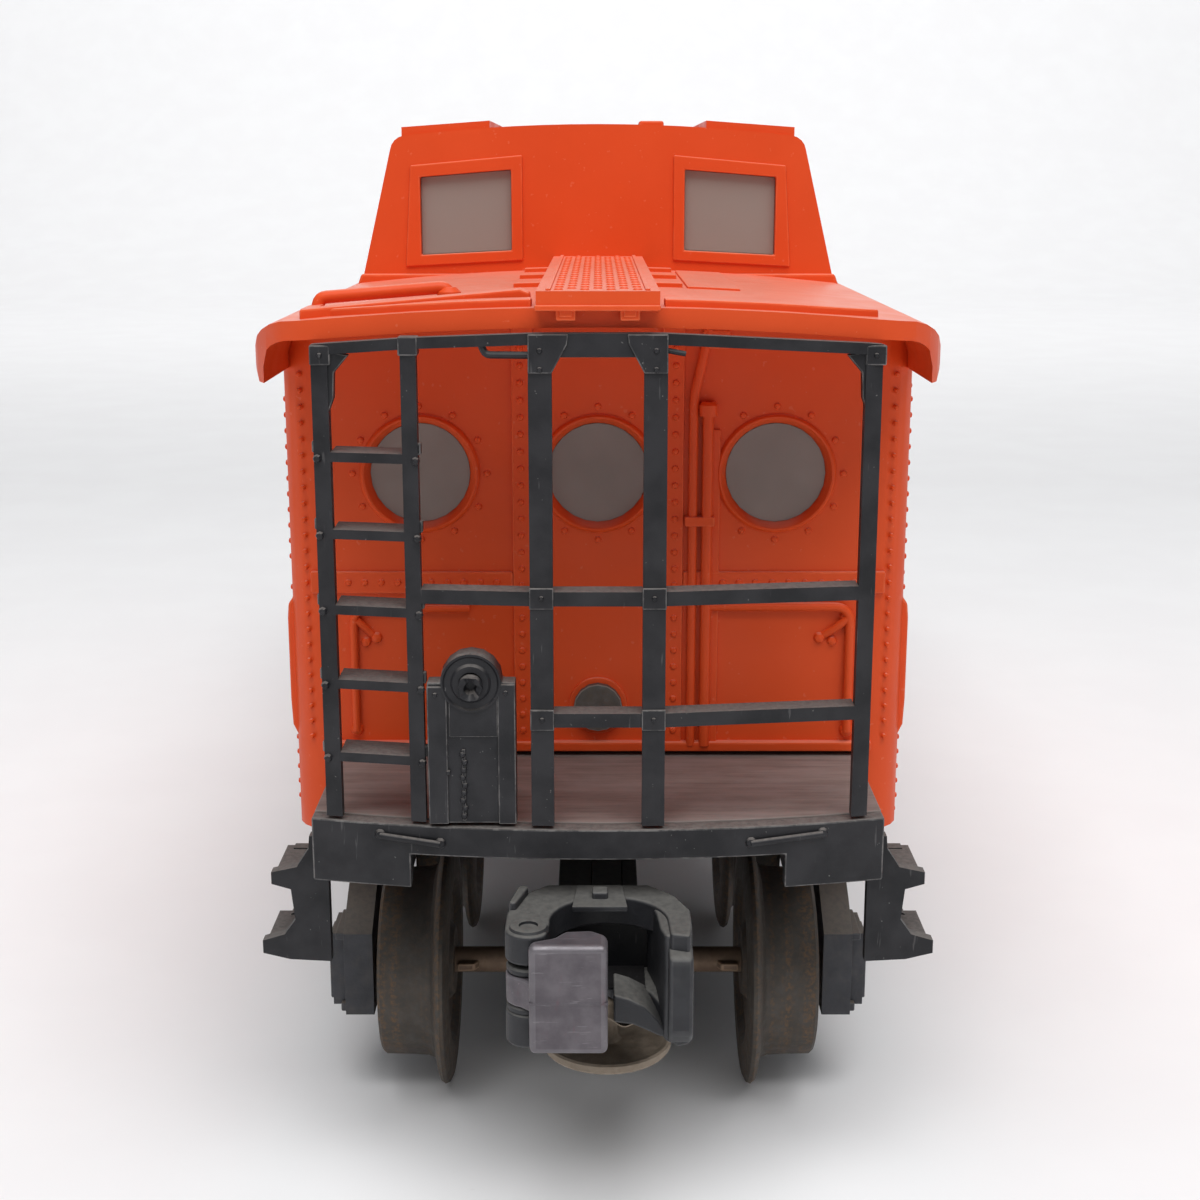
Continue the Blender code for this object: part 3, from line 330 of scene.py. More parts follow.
def frosted_material():
    """Milky insert: an even grey with a little light soaking through it."""
    made = Nodes("frosted_window", 0.38)
    cloud = made.ramp(made.noise(7, 2), 0.25, 0.75)
    base = made.mix(cloud, (0.225, 0.178, 0.155), (0.280, 0.226, 0.198))
    split = made.tree.nodes.new("ShaderNodeSeparateXYZ")
    made.link(made.place, split.inputs[0])
    high_up = made.ramp(split.outputs["Z"], 0.070, 0.078)
    base = made.mix(high_up, base, (0.300, 0.275, 0.245))
    made.colour(base)
    made.shader.inputs["Subsurface Weight"].default_value = 0.25
    made.shader.inputs["Subsurface Scale"].default_value = 0.0015
    made.shader.inputs["Subsurface Radius"].default_value = (1.0, 0.9, 0.8)
    made.bump(made.noise(0.3, 2), 0.008, 0.4)
    return made.material


def deck_material():
    """Brown plank grain that runs across the car, under a film of dust."""
    made = Nodes("deck", 0.8)
    grain = made.noise(1.1, 5, 0.65, (9, 1, 1))
    base = made.mix(made.ramp(grain, 0.3, 0.7), (0.160, 0.122, 0.106), (0.255, 0.206, 0.184))
    streak = made.ramp(made.noise(0.35, 3, 0.5, (22, 1, 1)), 0.5, 0.66)
    base = made.mix(made.times(streak, 0.25), base, (0.085, 0.064, 0.060))
    dust = made.ramp(made.noise(5, 5, 0.65), 0.35, 0.75, 0.15, 0.6)
    base = made.mix(dust, base, (0.270, 0.225, 0.215))
    base = made.rubbed(0.3, base, (0.30, 0.27, 0.25))
    made.colour(base)
    made.bump(grain, 0.10, 0.7)
    return made.material


def casting_material(name="truck_casting", dust=(0.17, 0.145, 0.12), amount=0.8, shade=1.0):
    """Blackened casting: orange-peel skin, tan dust over everything that faces up."""
    made = Nodes(name, 0.55, 0.15)
    dark = tuple(shade * c for c in (0.030, 0.031, 0.037))
    light = tuple(shade * c for c in (0.050, 0.051, 0.059))
    base = made.mix(made.ramp(made.noise(3, 4), 0.3, 0.7), dark, light)
    film = made.ramp(made.noise(2.2, 5, 0.65), 0.45, 0.75, 0.0, 0.25 * shade ** 2)
    base = made.mix(film, base, tuple(0.75 * c for c in dust))
    base = made.rubbed(made.ramp(made.noise(1.2, 3), 0.35, 0.65, 0.05, 0.25 * shade), base,
        (0.18, 0.18, 0.185))
    settled = made.ramp(made.noise(0.5, 4), 0.2, 0.7, amount * 0.6, amount)
    up = made.times(made.facing_up(0.3, 0.9), settled)
    base = made.mix(up, base, dust)
    made.colour(base)
    made.roughness(made.value("ADD", 0.5, made.times(up, 0.35)))
    made.bump(made.noise(0.45, 4, 0.65), 0.05, 0.6)
    return made.material


def zinc_material():
    """Bare grey-violet casting, polished and scratched on its pulling face."""
    made = Nodes("knuckle_zinc", 0.42, 0.35)
    base = made.mix(made.ramp(made.noise(2.4, 5, 0.6), 0.3, 0.72), (0.088, 0.077, 0.088),
        (0.138, 0.123, 0.136))
    scratch = made.ramp(made.noise(0.22, 3, 0.6, (14, 1, 1)), 0.63, 0.70)
    base = made.mix(made.times(scratch, 0.4), base, (0.28, 0.265, 0.28))
    stain = made.ramp(made.noise(1.1, 4, 0.6, (1, 1, 2.5)), 0.60, 0.76)
    base = made.mix(made.times(stain, 0.5), base, (0.150, 0.070, 0.085))
    base = made.rubbed(0.18, base, (0.30, 0.29, 0.305))
    made.colour(base)
    made.roughness(made.ramp(made.noise(1.5, 4), 0.3, 0.7, 0.34, 0.55))
    made.bump(made.noise(0.3, 4), 0.02, 0.5)
    return made.material


def steel_material(name, dark, light, film, film_amount, roughness=0.42, metallic=0.75, rusty=0.2):
    """Turned steel with a dull film that builds up in patches."""
    made = Nodes(name, roughness, metallic)
    base = made.mix(made.ramp(made.noise(1.6, 4, 0.6), 0.3, 0.7), dark, light)
    patches = made.ramp(made.noise(1.0, 5, 0.7), 0.32, 0.68, film_amount * 0.35, film_amount)
    base = made.mix(patches, base, film)
    band = made.ramp(made.noise(1.1, 2, 0.5, (1, 90, 90)), 0.42, 0.58, 0.15, 1.0)
    rust = made.times(band, made.ramp(made.noise(0.45, 4, 0.7), 0.40, 0.66, 0.0, rusty))
    base = made.mix(rust, base, (0.150, 0.088, 0.046))
    base = made.rubbed(0.35, base, tuple(min(1.0, 2.2 * c) for c in light))
    made.colour(base)
    dull = made.value("SUBTRACT", metallic, made.times(patches, metallic), True)
    made.link(dull, made.shader.inputs["Metallic"])
    made.roughness(made.value("ADD", roughness, made.times(patches, 0.4)))
    made.bump(made.noise(0.4, 5, 0.7), 0.04, 0.6)
    return made.material


ORANGE = orange_material()
BLACK = black_material()
FROSTED = frosted_material()
DECK = deck_material()
FLOOR_STEEL = black_material("floor_steel", (0.018, 0.018, 0.019), (0.030, 0.030, 0.031), 0.5, 0.3)
CASTING = casting_material()
# Near-black with almost no dust or wear: painted shade for the coupler's throat and pin bore.
THROAT_SHADE = black_material("painted_shade_black", (0.003, 0.003, 0.004), (0.006, 0.006, 0.007), 0.05, 0.05)
COUPLER = casting_material("coupler_casting", (0.155, 0.150, 0.138), 0.75, 0.5)
ZINC = zinc_material()
WHEEL = steel_material("wheel_steel", (0.055, 0.051, 0.047), (0.10, 0.093, 0.085),
    (0.062, 0.052, 0.043), 0.9, rusty=0.85)
AXLE = steel_material("axle_steel", (0.17, 0.115, 0.080), (0.27, 0.185, 0.125),
    (0.170, 0.110, 0.072), 0.8)
DISC = steel_material("disc_steel", (0.20, 0.165, 0.128), (0.29, 0.238, 0.185), (0.31, 0.25, 0.19),
    0.9)
BRIGHT = steel_material("bright_steel", (0.10, 0.095, 0.09), (0.20, 0.19, 0.18),
    (0.10, 0.085, 0.07), 0.8)


# ---------------------------------------------------------------- mesh tools

def arc(centre_u, centre_v, radius, start, end, steps):
    """Points along a circular arc, angles in degrees."""
    points = []
    for step in range(steps + 1):
        angle = math.radians(start + (end - start) * step / steps)
        points.append((centre_u + radius * math.cos(angle), centre_v + radius * math.sin(angle)))
    return points


def wear_layer(mesh):
    return mesh.faces.layers.float.get("wear") or mesh.faces.layers.float.new("wear")


def soften(mesh, width, segments=2, angle=30.0):
    """Round every sharp edge and mark the new faces, which the materials rub pale."""
    layer = wear_layer(mesh)
    limit = math.radians(angle)
    edges = [edge for edge in mesh.edges if edge.is_manifold and edge.calc_face_angle(0.0) > limit]
    rounded = bmesh.ops.bevel(mesh, geom=edges, offset=width, offset_type="OFFSET",
        segments=segments, profile=0.5, affect="EDGES", clamp_overlap=True)
    for face in rounded["faces"]:
        face[layer] = 1.0
    return mesh


def skin(rings, loop=False):
    """Join rings of points into a closed solid; a ring of one point closes an end in a tip."""
    mesh = bmesh.new()
    loops = [[mesh.verts.new(point) for point in ring] for ring in rings]
    following = loops[1:] + loops[:1] if loop else loops[1:]
    for first, second in zip(loops, following):
        count = max(len(first), len(second))
        for step in range(count if count > 1 else 0):
            after = (step + 1) % count
            corners = [first[step % len(first)], first[after % len(first)],
                second[after % len(second)], second[step % len(second)]]
            mesh.faces.new(list(dict.fromkeys(corners)))
    if not loop:
        for ring in (loops[0], loops[-1]):
            if len(ring) > 1:
                mesh.faces.new(ring)
    bmesh.ops.recalc_face_normals(mesh, faces=mesh.faces)
    return mesh


def on_axis(axis, along, u, v):
    return {"X": (along, u, v), "Y": (u, along, v), "Z": (u, v, along)}[axis]


def prism(outline, axis, low, high):
    """Extrude an outline along X, Y or Z into a closed solid."""
    return skin([[on_axis(axis, level, u, v) for u, v in outline] for level in (low, high)])


def block(x_low, x_high, y_low, y_high, z_low, z_high):
    outline = [(x_low, y_low), (x_high, y_low), (x_high, y_high), (x_low, y_high)]
    return prism(outline, "Z", z_low, z_high)


def frame_solid(inner, outer, front, back):
    """A picture-frame solid facing -Y between two outlines with the same number of corners."""
    rings = ((inner, front), (outer, front), (outer, back), (inner, back))
    return skin([[(x, depth, z) for x, z in outline] for outline, depth in rings], loop=True)


def ring_of(count):
    """Cosine and sine of evenly spaced steps round a circle."""
    angles = [FULL_TURN * step / count for step in range(count)]
    return [(math.cos(angle), math.sin(angle)) for angle in angles]


def lathe(profile, axis, segments=48):
    """Spin a closed (distance along the axis, radius) outline about X, Y or Z."""
    rings = []
    for along, radius in profile:
        spokes = ring_of(segments) if radius > 1e-6 else [(0, 0)]
        rings.append([on_axis(axis, along, radius * u, radius * v) for u, v in spokes])
    return skin(rings, loop=True)


def tube(points, radius, sides=10):
    """A round bar along a run of points, closed at both ends."""
    points = [Vector(point) for point in points]
    rings = []
    for index, point in enumerate(points):
        before = points[max(index - 1, 0)]
        after = points[min(index + 1, len(points) - 1)]
        direction = (after - before).normalized()
        side = direction.cross(Vector((0.12, 0.21, 1.0))).normalized() * radius
        up = side.cross(direction)
        rings.append([point + side * u + up * v for u, v in ring_of(sides)])
    return skin(rings)


def bend(points, radius, steps=5):
    """Round the corners of a run of points."""
    points = [Vector(point) for point in points]
    smooth = [points[0]]
    for before, corner, after in zip(points, points[1:], points[2:]):
        start = corner + (before - corner).normalized() * radius
        end = corner + (after - corner).normalized() * radius
        for step in range(steps + 1):
            t = step / steps
            smooth.append(start * (1 - t) ** 2 + corner * 2 * t * (1 - t) + end * t ** 2)
    smooth.append(points[-1])
    return smooth


def rivet(centre, normal, radius=0.34, height=0.26, sides=8):
    """A low domed head with its base sunk a little into the surface."""
    sink = 0.12
    turn = Vector((0, 0, 1)).rotation_difference(Vector(normal)).to_matrix()
    centre = Vector(centre)
    rings = []
    for reach, lift in ((radius, -sink), (radius, 0.0), (0.72 * radius, 0.72 * height)):
        ring = [Vector((reach * u, reach * v, lift)) for u, v in ring_of(sides)]
        rings.append([centre + turn @ point for point in ring])
    rings.append([centre + turn @ Vector((0, 0, height))])
    return skin(rings)


def spaced(start, stop, pitch):
    """Even steps from start up to stop."""
    while start < stop:
        yield start
        start += pitch


class Relief(list):
    """The solids of one relief, with short ways to add the common ones."""

    def box(self, x_low, x_high, y_low, y_high, z_low, z_high, soft, segments=2):
        x_low, x_high = sorted((x_low, x_high))
        self.append(soften(block(x_low, x_high, y_low, y_high, z_low, z_high), soft, segments))

    def solid(self, outline, axis, low, high, soft, segments=2):
        self.append(soften(prism(outline, axis, low, high), soft, segments))

    def dome(self, *shape):
        self.append(rivet(*shape))

    def turned(self, profile, axis, segments, offset):
        self.append(moved(lathe(profile, axis, segments), offset))

    def bar(self, *shape):
        self.append(tube(*shape))


def gathered(parts):
    """Put several solids in one mesh, keeping the marks on their worn faces."""
    whole = bmesh.new()
    wear_layer(whole)
    for part in parts:
        wear_layer(part)
        data = bpy.data.meshes.new("scratch")
        part.to_mesh(data)
        part.free()
        whole.from_mesh(data)
        bpy.data.meshes.remove(data)
    return whole


def moved(mesh, offset=(0, 0, 0), turn=0.0, axis="Z"):
    bmesh.ops.rotate(mesh, verts=mesh.verts, cent=(0, 0, 0), matrix=Matrix.Rotation(turn, 3, axis))
    bmesh.ops.translate(mesh, verts=mesh.verts, vec=offset)
    return mesh


def mirrored_x(mesh):
    bmesh.ops.scale(mesh, vec=(-1, 1, 1), verts=mesh.verts)
    bmesh.ops.reverse_faces(mesh, faces=mesh.faces)
    return mesh


def cad_copy(node):
    """A node's mesh in millimetres with its flat faces whole again, ready to be softened."""
    mesh = bmesh.new()
    mesh.from_mesh(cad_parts[node].data)
    bmesh.ops.remove_doubles(mesh, verts=mesh.verts, dist=0.000002)
    bmesh.ops.scale(mesh, vec=(1 / MM,) * 3, verts=mesh.verts)
    bmesh.ops.dissolve_limit(mesh, angle_limit=math.radians(0.8), verts=mesh.verts,
        edges=mesh.edges)
    return mesh


def show(name, mesh, surface, body, stands_for=(), sharp=38.0):
    """Make the visible object, give it its finish and let it ride on its body."""
    wear_layer(mesh)
    bmesh.ops.dissolve_degenerate(mesh, dist=0.004, edges=mesh.edges)
    bmesh.ops.scale(mesh, vec=(MM, MM, MM), verts=mesh.verts)
    data = bpy.data.meshes.new(name)
    mesh.to_mesh(data)
    mesh.free()
    data.shade_smooth()
    data.set_sharp_from_angle(angle=math.radians(sharp))
    even_normals(data, sharp)
    data.materials.clear()
    data.materials.append(surface)
    made = add_object(name, data)
    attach(made, body)
    if stands_for:
        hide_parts(*stands_for)
    return made


def even_normals(data, sharp):
    """Let large faces set the shading, so flat walls stay flat up to their rounded edges."""
    limit = math.cos(math.radians(sharp))
    worn = [item.value > 0.5 for item in data.attributes["wear"].data]
    around = [[] for vertex in data.vertices]
    faces = []
    for face in data.polygons:
        faces.append((face.normal.copy(), face.area))
        for vertex in face.vertices:
            around[vertex].append(face.index)
    shading = []
    for face in data.polygons:
        facing = faces[face.index][0]
        for vertex in face.vertices:
            total = Vector()
            for index in around[vertex]:
                normal, area = faces[index]
                if normal.dot(facing) > limit and (worn[face.index] or not worn[index]):
                    total += normal * area
            if total.length < 1e-15:
                total = Vector((0, 0, 1e-12))
                for index in around[vertex]:
                    total += faces[index][0] * faces[index][1]
            shading.append(total.normalized())
    data.normals_split_custom_set(shading)


def soft_copy(node, width, surface, body, segments=2, angle=30.0):
    """Replace a CAD node by the same shape with rounded, worn edges."""
    return show(node + "_skin", soften(cad_copy(node), width, segments, angle), surface, body,
        [node])


ENDS = {"front": 0.0, "rear": math.pi}


def at_both_ends(name, build, surface):
    """Build a piece in front-end coordinates and place it on both ends of the car body."""
    for end, turn in ENDS.items():
        show(name + "_" + end, moved(build(), turn=turn), surface, "carbody")


# ---------------------------------------------------------------- body shell relief

def porthole(centre, turn=0.0):
    """Rim, funnel and circle of rivets of a round window in the end wall, or turned to a side."""
    profile = [(1.2, BEZEL_INNER - 0.05), (0.55, BEZEL_INNER), (-0.22, BEZEL_INNER + 0.38),
        (-0.40, BEZEL_INNER + 0.52), (-0.42, BEZEL_INNER + 0.68), (-0.30, BEZEL_OUTER - 0.06),
        (-0.05, BEZEL_OUTER + 0.06), (0.15, BEZEL_OUTER + 0.06), (0.15, BEZEL_INNER + 0.42),
        (1.2, BEZEL_INNER + 0.42)]
    parts = Relief([lathe(profile, "Y", 64)])
    for u, v in ring_of(12):
        parts.dome((6.2 * u, 0, 6.2 * v), AHEAD)
    return moved(gathered(parts), centre, turn)


def end_wall_relief():
    """Everything moulded on one end wall: bezels, seam strips, rivets, pipes and grab irons."""
    wall = -BODY_HALF_LENGTH
    proud = wall - 0.4
    parts = Relief()
    for x in (-END_PORTHOLE_X, 0.0, END_PORTHOLE_X):
        parts.append(porthole((x, wall, PORTHOLE_Z)))
    for side in (-1, 1):
        parts.box(side * 5.9, side * 7.9, proud, wall + 0.4, 35.4, 75.0, 0.14)
        for z in spaced(36.8, 73.5, 1.57):
            parts.dome((side * 7.1, proud, z), AHEAD, 0.33, 0.24)
        parts.box(side * 7.9, side * 26.8, proud, wall + 0.4, 50.1, 52.2, 0.2)
        for x in spaced(11.6 if side > 0 else 9.4, 26.2, 1.54):
            parts.dome((side * x, proud, 51.2), AHEAD, 0.34, 0.24)
        for z in spaced(36.0, 71.0, 1.5):
            parts.dome((side * 27.3, wall + 0.22, z), (side * 0.35, -1, 0), 0.26, 0.2)
    parts.box(-26.0, 26.0, wall - 0.75, wall + 0.4, 34.75, 35.7, 0.22)
    parts.box(-5.9, 5.9, wall - 0.5, wall + 0.4, 72.0, 73.4, 0.18)
    ring = [(0.3, 1.1), (-0.35, 1.1), (-0.35, 2.75), (0.3, 2.75)]
    parts.append(moved(soften(lathe(ring, "Y", 40), 0.1), (0, wall, 39.2)))
    parts += stove_pipes(wall)
    parts += panel_grab(wall)
    parts += left_grab(wall)
    return gathered(parts)


def stove_pipes(wall):
    """Two upright pipes beside the right-hand window, with a clamp, an elbow and a cap."""
    out = wall - 0.5
    left = 8.75
    right = 10.05
    long_pipe = bend([(left, out, 35.4), (left, out, 68.6), (left + 1.35, out, 74.6)], 1.4)
    parts = Relief()
    parts.bar(long_pipe, 0.42, 14)
    parts.bar([(right, out - 0.1, 35.4), (right, out - 0.1, 67.3)], 0.5, 14)
    parts.box(left - 0.75, right + 0.7, out - 0.6, wall + 0.2, 56.6, 57.5, 0.14)
    parts.box(right + 0.3, right + 1.2, wall - 0.35, wall + 0.2, 35.4, 65.5, 0.12)
    cap = [(66.8, 0), (66.8, 0.8), (67.8, 0.85), (68.1, 0.6), (68.1, 0.38), (67.4, 0.36), (67.4, 0)]
    parts.turned(cap, "Z", 20, (right, out - 0.1, 0))
    parts.box(left + 0.7, left + 3.2, out - 0.35, wall + 0.2, 72.9, 74.6, 0.18)
    return parts


def panel_grab(wall):
    """Handrail that runs along the belt and down the right-hand corner, with its bracket."""
    out = wall - 0.5
    parts = Relief()
    parts.bar(bend([(10.4, out, 48.9), (23.6, out, 48.9), (23.6, out, 36.7)], 1.6, 7), 0.42, 14)
    parts.bar([(23.4, out, 47.8), (22.4, out + 0.1, 46.9), (21.0, wall + 0.1, 45.9)], 0.38, 10)
    for x, z, radius in ((20.8, 45.8, 0.55), (22.0, 45.5, 0.5), (23.6, 36.7, 0.7),
            (23.2, 47.9, 0.55)):
        parts.dome((x, wall, z), AHEAD, radius, radius, 14)
    return parts


def left_grab(wall):
    """Short bracket and handrail on the left-hand lower panel."""
    out = wall - 0.45
    parts = Relief()
    parts.bar(bend([(-22.9, out, 36.8), (-22.9, out, 48.7), (-12.0, out, 48.7)], 1.6, 6), 0.36, 12)
    parts.bar([(-22.6, out, 47.6), (-21.0, wall + 0.1, 45.9)], 0.34, 10)
    for x, z, radius in ((-20.8, 45.8, 0.55), (-21.8, 45.4, 0.5), (-22.9, 36.8, 0.65)):
        parts.dome((x, wall, z), AHEAD, radius, radius, 14)
    return parts


def side_wall_relief():
    """Everything moulded on the +X side wall."""
    parts = Relief()
    wall = BODY_HALF_WIDTH
    belt = 51.1
    for distance in SIDE_PORTHOLE_Y:
        for y in (-distance, distance):
            parts.append(porthole((wall, y, PORTHOLE_Z), math.pi / 2))
    for y in spaced(-69.0, 69.0, 1.8):
        for z in (27.2, belt, 69.0):
            parts.dome((wall, y, z), OUTWARD, 0.3, 0.22, 6)
    for seam in (-69.6, -39.0, 0.0, 39.0, 69.6):
        for z in spaced(28.8, 68.5, 1.5):
            if abs(z - belt) > 0.9:
                parts.dome((wall, seam, z), OUTWARD, 0.3, 0.22, 6)
    for end in (-1, 1):
        rail = bend([(wall - 0.2, end * 67.0, 36.4), (wall + 0.3, end * 67.0, 37.0),
            (wall + 0.3, end * 67.0, 48.0), (wall - 0.2, end * 67.0, 48.6)], 0.35, 3)
        parts.bar(rail, 0.34, 10)
        ridge = [(wall - 0.4, 34.9), (wall + 0.30, 36.4), (wall + 0.42, 39.0), (wall + 0.42, 47.0),
            (wall + 0.30, 48.4), (wall - 0.4, 49.4)]
        parts.solid(ridge, "Y", end * 70.0 - 0.8, end * 70.0 + 0.8, 0.2)
    return gathered(parts)


def roof_strip(x_low, x_high, y_low, y_high, rise, sink=0.4, steps=16):
    """A low raised strip that follows the roof's arch."""
    across = [x_low + (x_high - x_low) * step / steps for step in range(steps + 1)]
    top = [(x, roof_z(x) + rise) for x in across]
    base = [(x, roof_z(x) - sink) for x in reversed(across)]
    return prism(top + base, "Y", y_low, y_high)


def roof_relief():
    """Raised end band, ladder-top board, grab bar and hatch panel near one end of the roof."""
    edge = roof_end(0)
    parts = Relief()
    steps = 14
    for low, high in ((-23.2, -5.4), (5.4, 23.2)):
        front = []
        back = []
        for step in range(steps + 1):
            x = low + (high - low) * step / steps
            swept = 0.25 * max(abs(x) - 19.0, 0) ** 1.4
            front.append((x, roof_end(min(abs(x), ROOF_CORNER_X)) + 1.5 + swept))
            back.append((x, front[-1][1] + 2.4))
        band = prism(front + list(reversed(back)), "Z", 0.0, 1.0)
        for vertex in band.verts:
            lifted = vertex.co.z > 0.5
            vertex.co.z = roof_z(vertex.co.x) + (0.62 if lifted else -0.5)
        parts.append(soften(band, 0.2))
    plank = [(-24.6, 0.8), (-6.4, 1.25), (-5.6, 0.9), (-5.6, -0.3), (-24.6, -0.3)]
    plank = [(x, roof_z(x) + rise) for x, rise in plank]
    parts.solid(plank, "Y", edge + 4.3, edge + 6.6, 0.2)
    parts.append(soften(roof_strip(-24.6, -23.2, edge + 5.0, edge + 9.0, 0.8), 0.2))
    bar = bend([(-23.8, edge + 9.0, roof_z(24) + 0.3), (-23.6, edge + 9.0, roof_z(24) + 1.4),
        (-12.8, edge + 9.0, roof_z(12.8) + 1.4), (-12.4, edge + 9.0, roof_z(12.6) + 0.3)], 0.6, 4)
    parts.bar(bar, 0.55, 14)
    knob = [(-0.4, 0), (-0.4, 1.1), (0.5, 1.0), (0.9, 0.6), (0.9, 0)]
    parts.turned(knob, "Z", 20, (-12.6, edge + 9.0, roof_z(12.7) + 0.5))
    hatch = roof_strip(8.4, 13.4, -66.0, -38.0, 0.22, 0.4, 6)
    parts.append(soften(hatch, 0.15))
    for y in (-65.0, -51.0, -38.5):
        for low, high in ((-8.0, -5.2), (5.2, 8.0)):
            parts.append(soften(roof_strip(low, high, y, y + 1.6, 0.42, 0.4, 3), 0.1))
    return gathered(parts)


def running_board_relief():
    """Rims, lip, legs and raised tread pattern of one roof running board."""
    tip = -BOARD_END
    start = -CUPOLA_HALF_LENGTH - 0.1
    half = BOARD_HALF_WIDTH
    parts = Relief()
    for side in (-1, 1):
        parts.box(side * 3.75, side * 4.15, tip + 0.7, start, BOARD_TOP - 0.3, BOARD_TOP + 0.16,
            0.08)
        parts.box(side * 1.75, side * 3.35, tip + 0.35, tip + 3.4, BOARD_TOP - 2.35,
            BOARD_TOP - 1.0, 0.15)
        parts.box(side * 2.05, side * 3.05, tip + 0.2, tip + 2.0, BOARD_TOP - 2.05, BOARD_TOP - 1.0,
            0.1)
    parts.box(-half - 0.12, half + 0.06, tip - 0.16, tip + 2.4, BOARD_TOP - 1.55, BOARD_TOP - 1.1,
        0.12)
    columns = 7
    pitch = 1.05
    for y in spaced(tip + 1.6, start - 1.0, 3.2):
        for column in range(columns):
            ahead = 1.6 if column % 2 else 0.0
            x = (column - (columns - 1) / 2) * pitch
            parts.dome((x, y + ahead, BOARD_TOP - 0.01), (0, 0, 1), 0.42, 0.19, 10)
    return gathered(parts)


def cupola_relief(end):
    """Raised window surrounds of one cupola end and the small vent on its roof."""
    wall = -CUPOLA_HALF_LENGTH
    window = [(9.55, 79.95), (19.55, 79.45), (19.55, 87.85), (9.55, 88.65)]
    surround = [(8.3, 78.9), (21.3, 78.2), (20.6, 89.1), (8.3, 90.2)]
    parts = Relief()
    for side in (-1, 1):
        inner = [(side * x, z) for x, z in window]
        outer = [(side * x, z) for x, z in surround]
        parts.append(soften(frame_solid(inner, outer, wall - 0.32, wall + 1.15), 0.16, 2, 50))
    if end == "front":
        parts.box(4.6, 7.4, wall + 6.0, wall + 10.0, 92.6, 94.0, 0.25)
    flare = [(-26.9, roof_z(26.9) - 0.6), (-26.3, roof_z(26.3) + 1.0), (26.3, roof_z(26.3) + 1.0),
        (26.9, roof_z(26.9) - 0.6)]
    parts.solid(flare, "Y", wall - 0.35, wall + 0.4, 0.3)
    return gathered(parts)


def dress_shell():
    soft_copy("body_shell", 0.28, ORANGE, "carbody", 3)
    at_both_ends("end_wall_relief", end_wall_relief, ORANGE)
    at_both_ends("roof_relief", roof_relief, ORANGE)
    at_both_ends("running_board_relief", running_board_relief, ORANGE)
    for end, turn in ENDS.items():
        show("cupola_relief_" + end, moved(cupola_relief(end), turn=turn), ORANGE, "carbody")
    show("side_wall_relief_right", side_wall_relief(), ORANGE, "carbody")
    show("side_wall_relief_left", moved(side_wall_relief(), turn=math.pi), ORANGE, "carbody")
    for name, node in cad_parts.items():
        if "glazing" in name:
            paint(node, FROSTED)


def paint(node, surface):
    for slot in node.material_slots:
        slot.material = surface


# ---------------------------------------------------------------- platforms

def railing_relief():
    """Gussets, bolts and hooks on the railing's front, in front-end coordinates."""
    parts = Relief()
    face = 0.1
    for side in (-1, 1):
        x = side * 4.65
        y = sill_y(x) + face
        outline = [(x - side * 0.95, 72.8), (x + side * 0.95, 72.8), (x + side * 0.95, 75.9),
            (x - side * 2.3, 75.9), (x - side * 2.2, 75.1)]
        parts.solid(outline, "Y", y - 0.22, y + 0.9, 0.1)
        for z in (73.1, 74.6):
            parts.dome((x, y - 0.22, z), AHEAD, 0.24, 0.2)
        for z in (54.4, 44.0):
            parts.box(x - 1.0, x + 1.0, y - 0.12, y + 0.4, z - 0.95, z + 0.85, 0.1)
            parts.dome((x, y - 0.12, z), AHEAD, 0.22, 0.22)
        outer = side * 22.5
        y = sill_y(outer) + face
        outline = [(outer - side * 0.4, 69.0), (outer - side * 1.0, 70.5),
            (outer - side * 1.1, 72.6), (outer - side * 2.3, 74.0), (outer, 74.4)]
        parts.solid(outline, "Y", y + 0.1, y + 1.1, 0.1)
        parts.box(outer - 0.85, outer + 0.85, y - 0.12, y + 1.3, 73.2, 74.8, 0.12)
        parts.dome((outer, y - 0.12, 74.0), AHEAD, 0.22, 0.2)
    x = -15.25
    y = sill_y(x) + face
    parts.box(x - 0.8, x + 0.8, y - 0.15, y + 1.5, 74.1, 75.6, 0.12)
    for rung in range(5):
        z = 40.0 + 6.43 * rung
        for x, lean in ((-22.6, -0.4), (-15.2, 0.4)):
            y = sill_y(x) + face
            parts.dome((x + lean, y, z - 0.15), AHEAD, 0.36, 0.4, 8)
            parts.box(x + lean - 0.45, x + lean + 0.45, y + 0.2, y + 1.0, z + 0.3, z + 1.3, 0.16)
    hook = bend([(-9.6, sill_y(-9.6) + 0.6, 75.6), (-9.0, sill_y(-9.0) + 0.6, 74.2),
        (-5.5, sill_y(-5.5) + 0.5, 74.2)], 0.4, 3)
    parts.bar(hook, 0.3, 8)
    parts.bar([(5.4, sill_y(5.4) + 0.5, 74.6), (7.0, sill_y(7.0) + 0.5, 74.3)], 0.22, 8)
    return gathered(parts)


def sill_relief():
    """The two small grab bars on the sill's face, with their feet."""
    parts = Relief()
    for left, right, left_z, right_z in ((-18.6, -13.4, 33.3, 32.8), (13.0, 19.2, 32.9, 33.4)):
        a = (left, sill_y(left) - 0.3, left_z)
        b = (right, sill_y(right) - 0.3, right_z)
        parts.bar([a, b], 0.28, 10)
        for x, z in ((left, left_z), (right, right_z)):
            parts.dome((x, sill_y(x) + 0.05, z), AHEAD, 0.5, 0.5, 10)
    return gathered(parts)


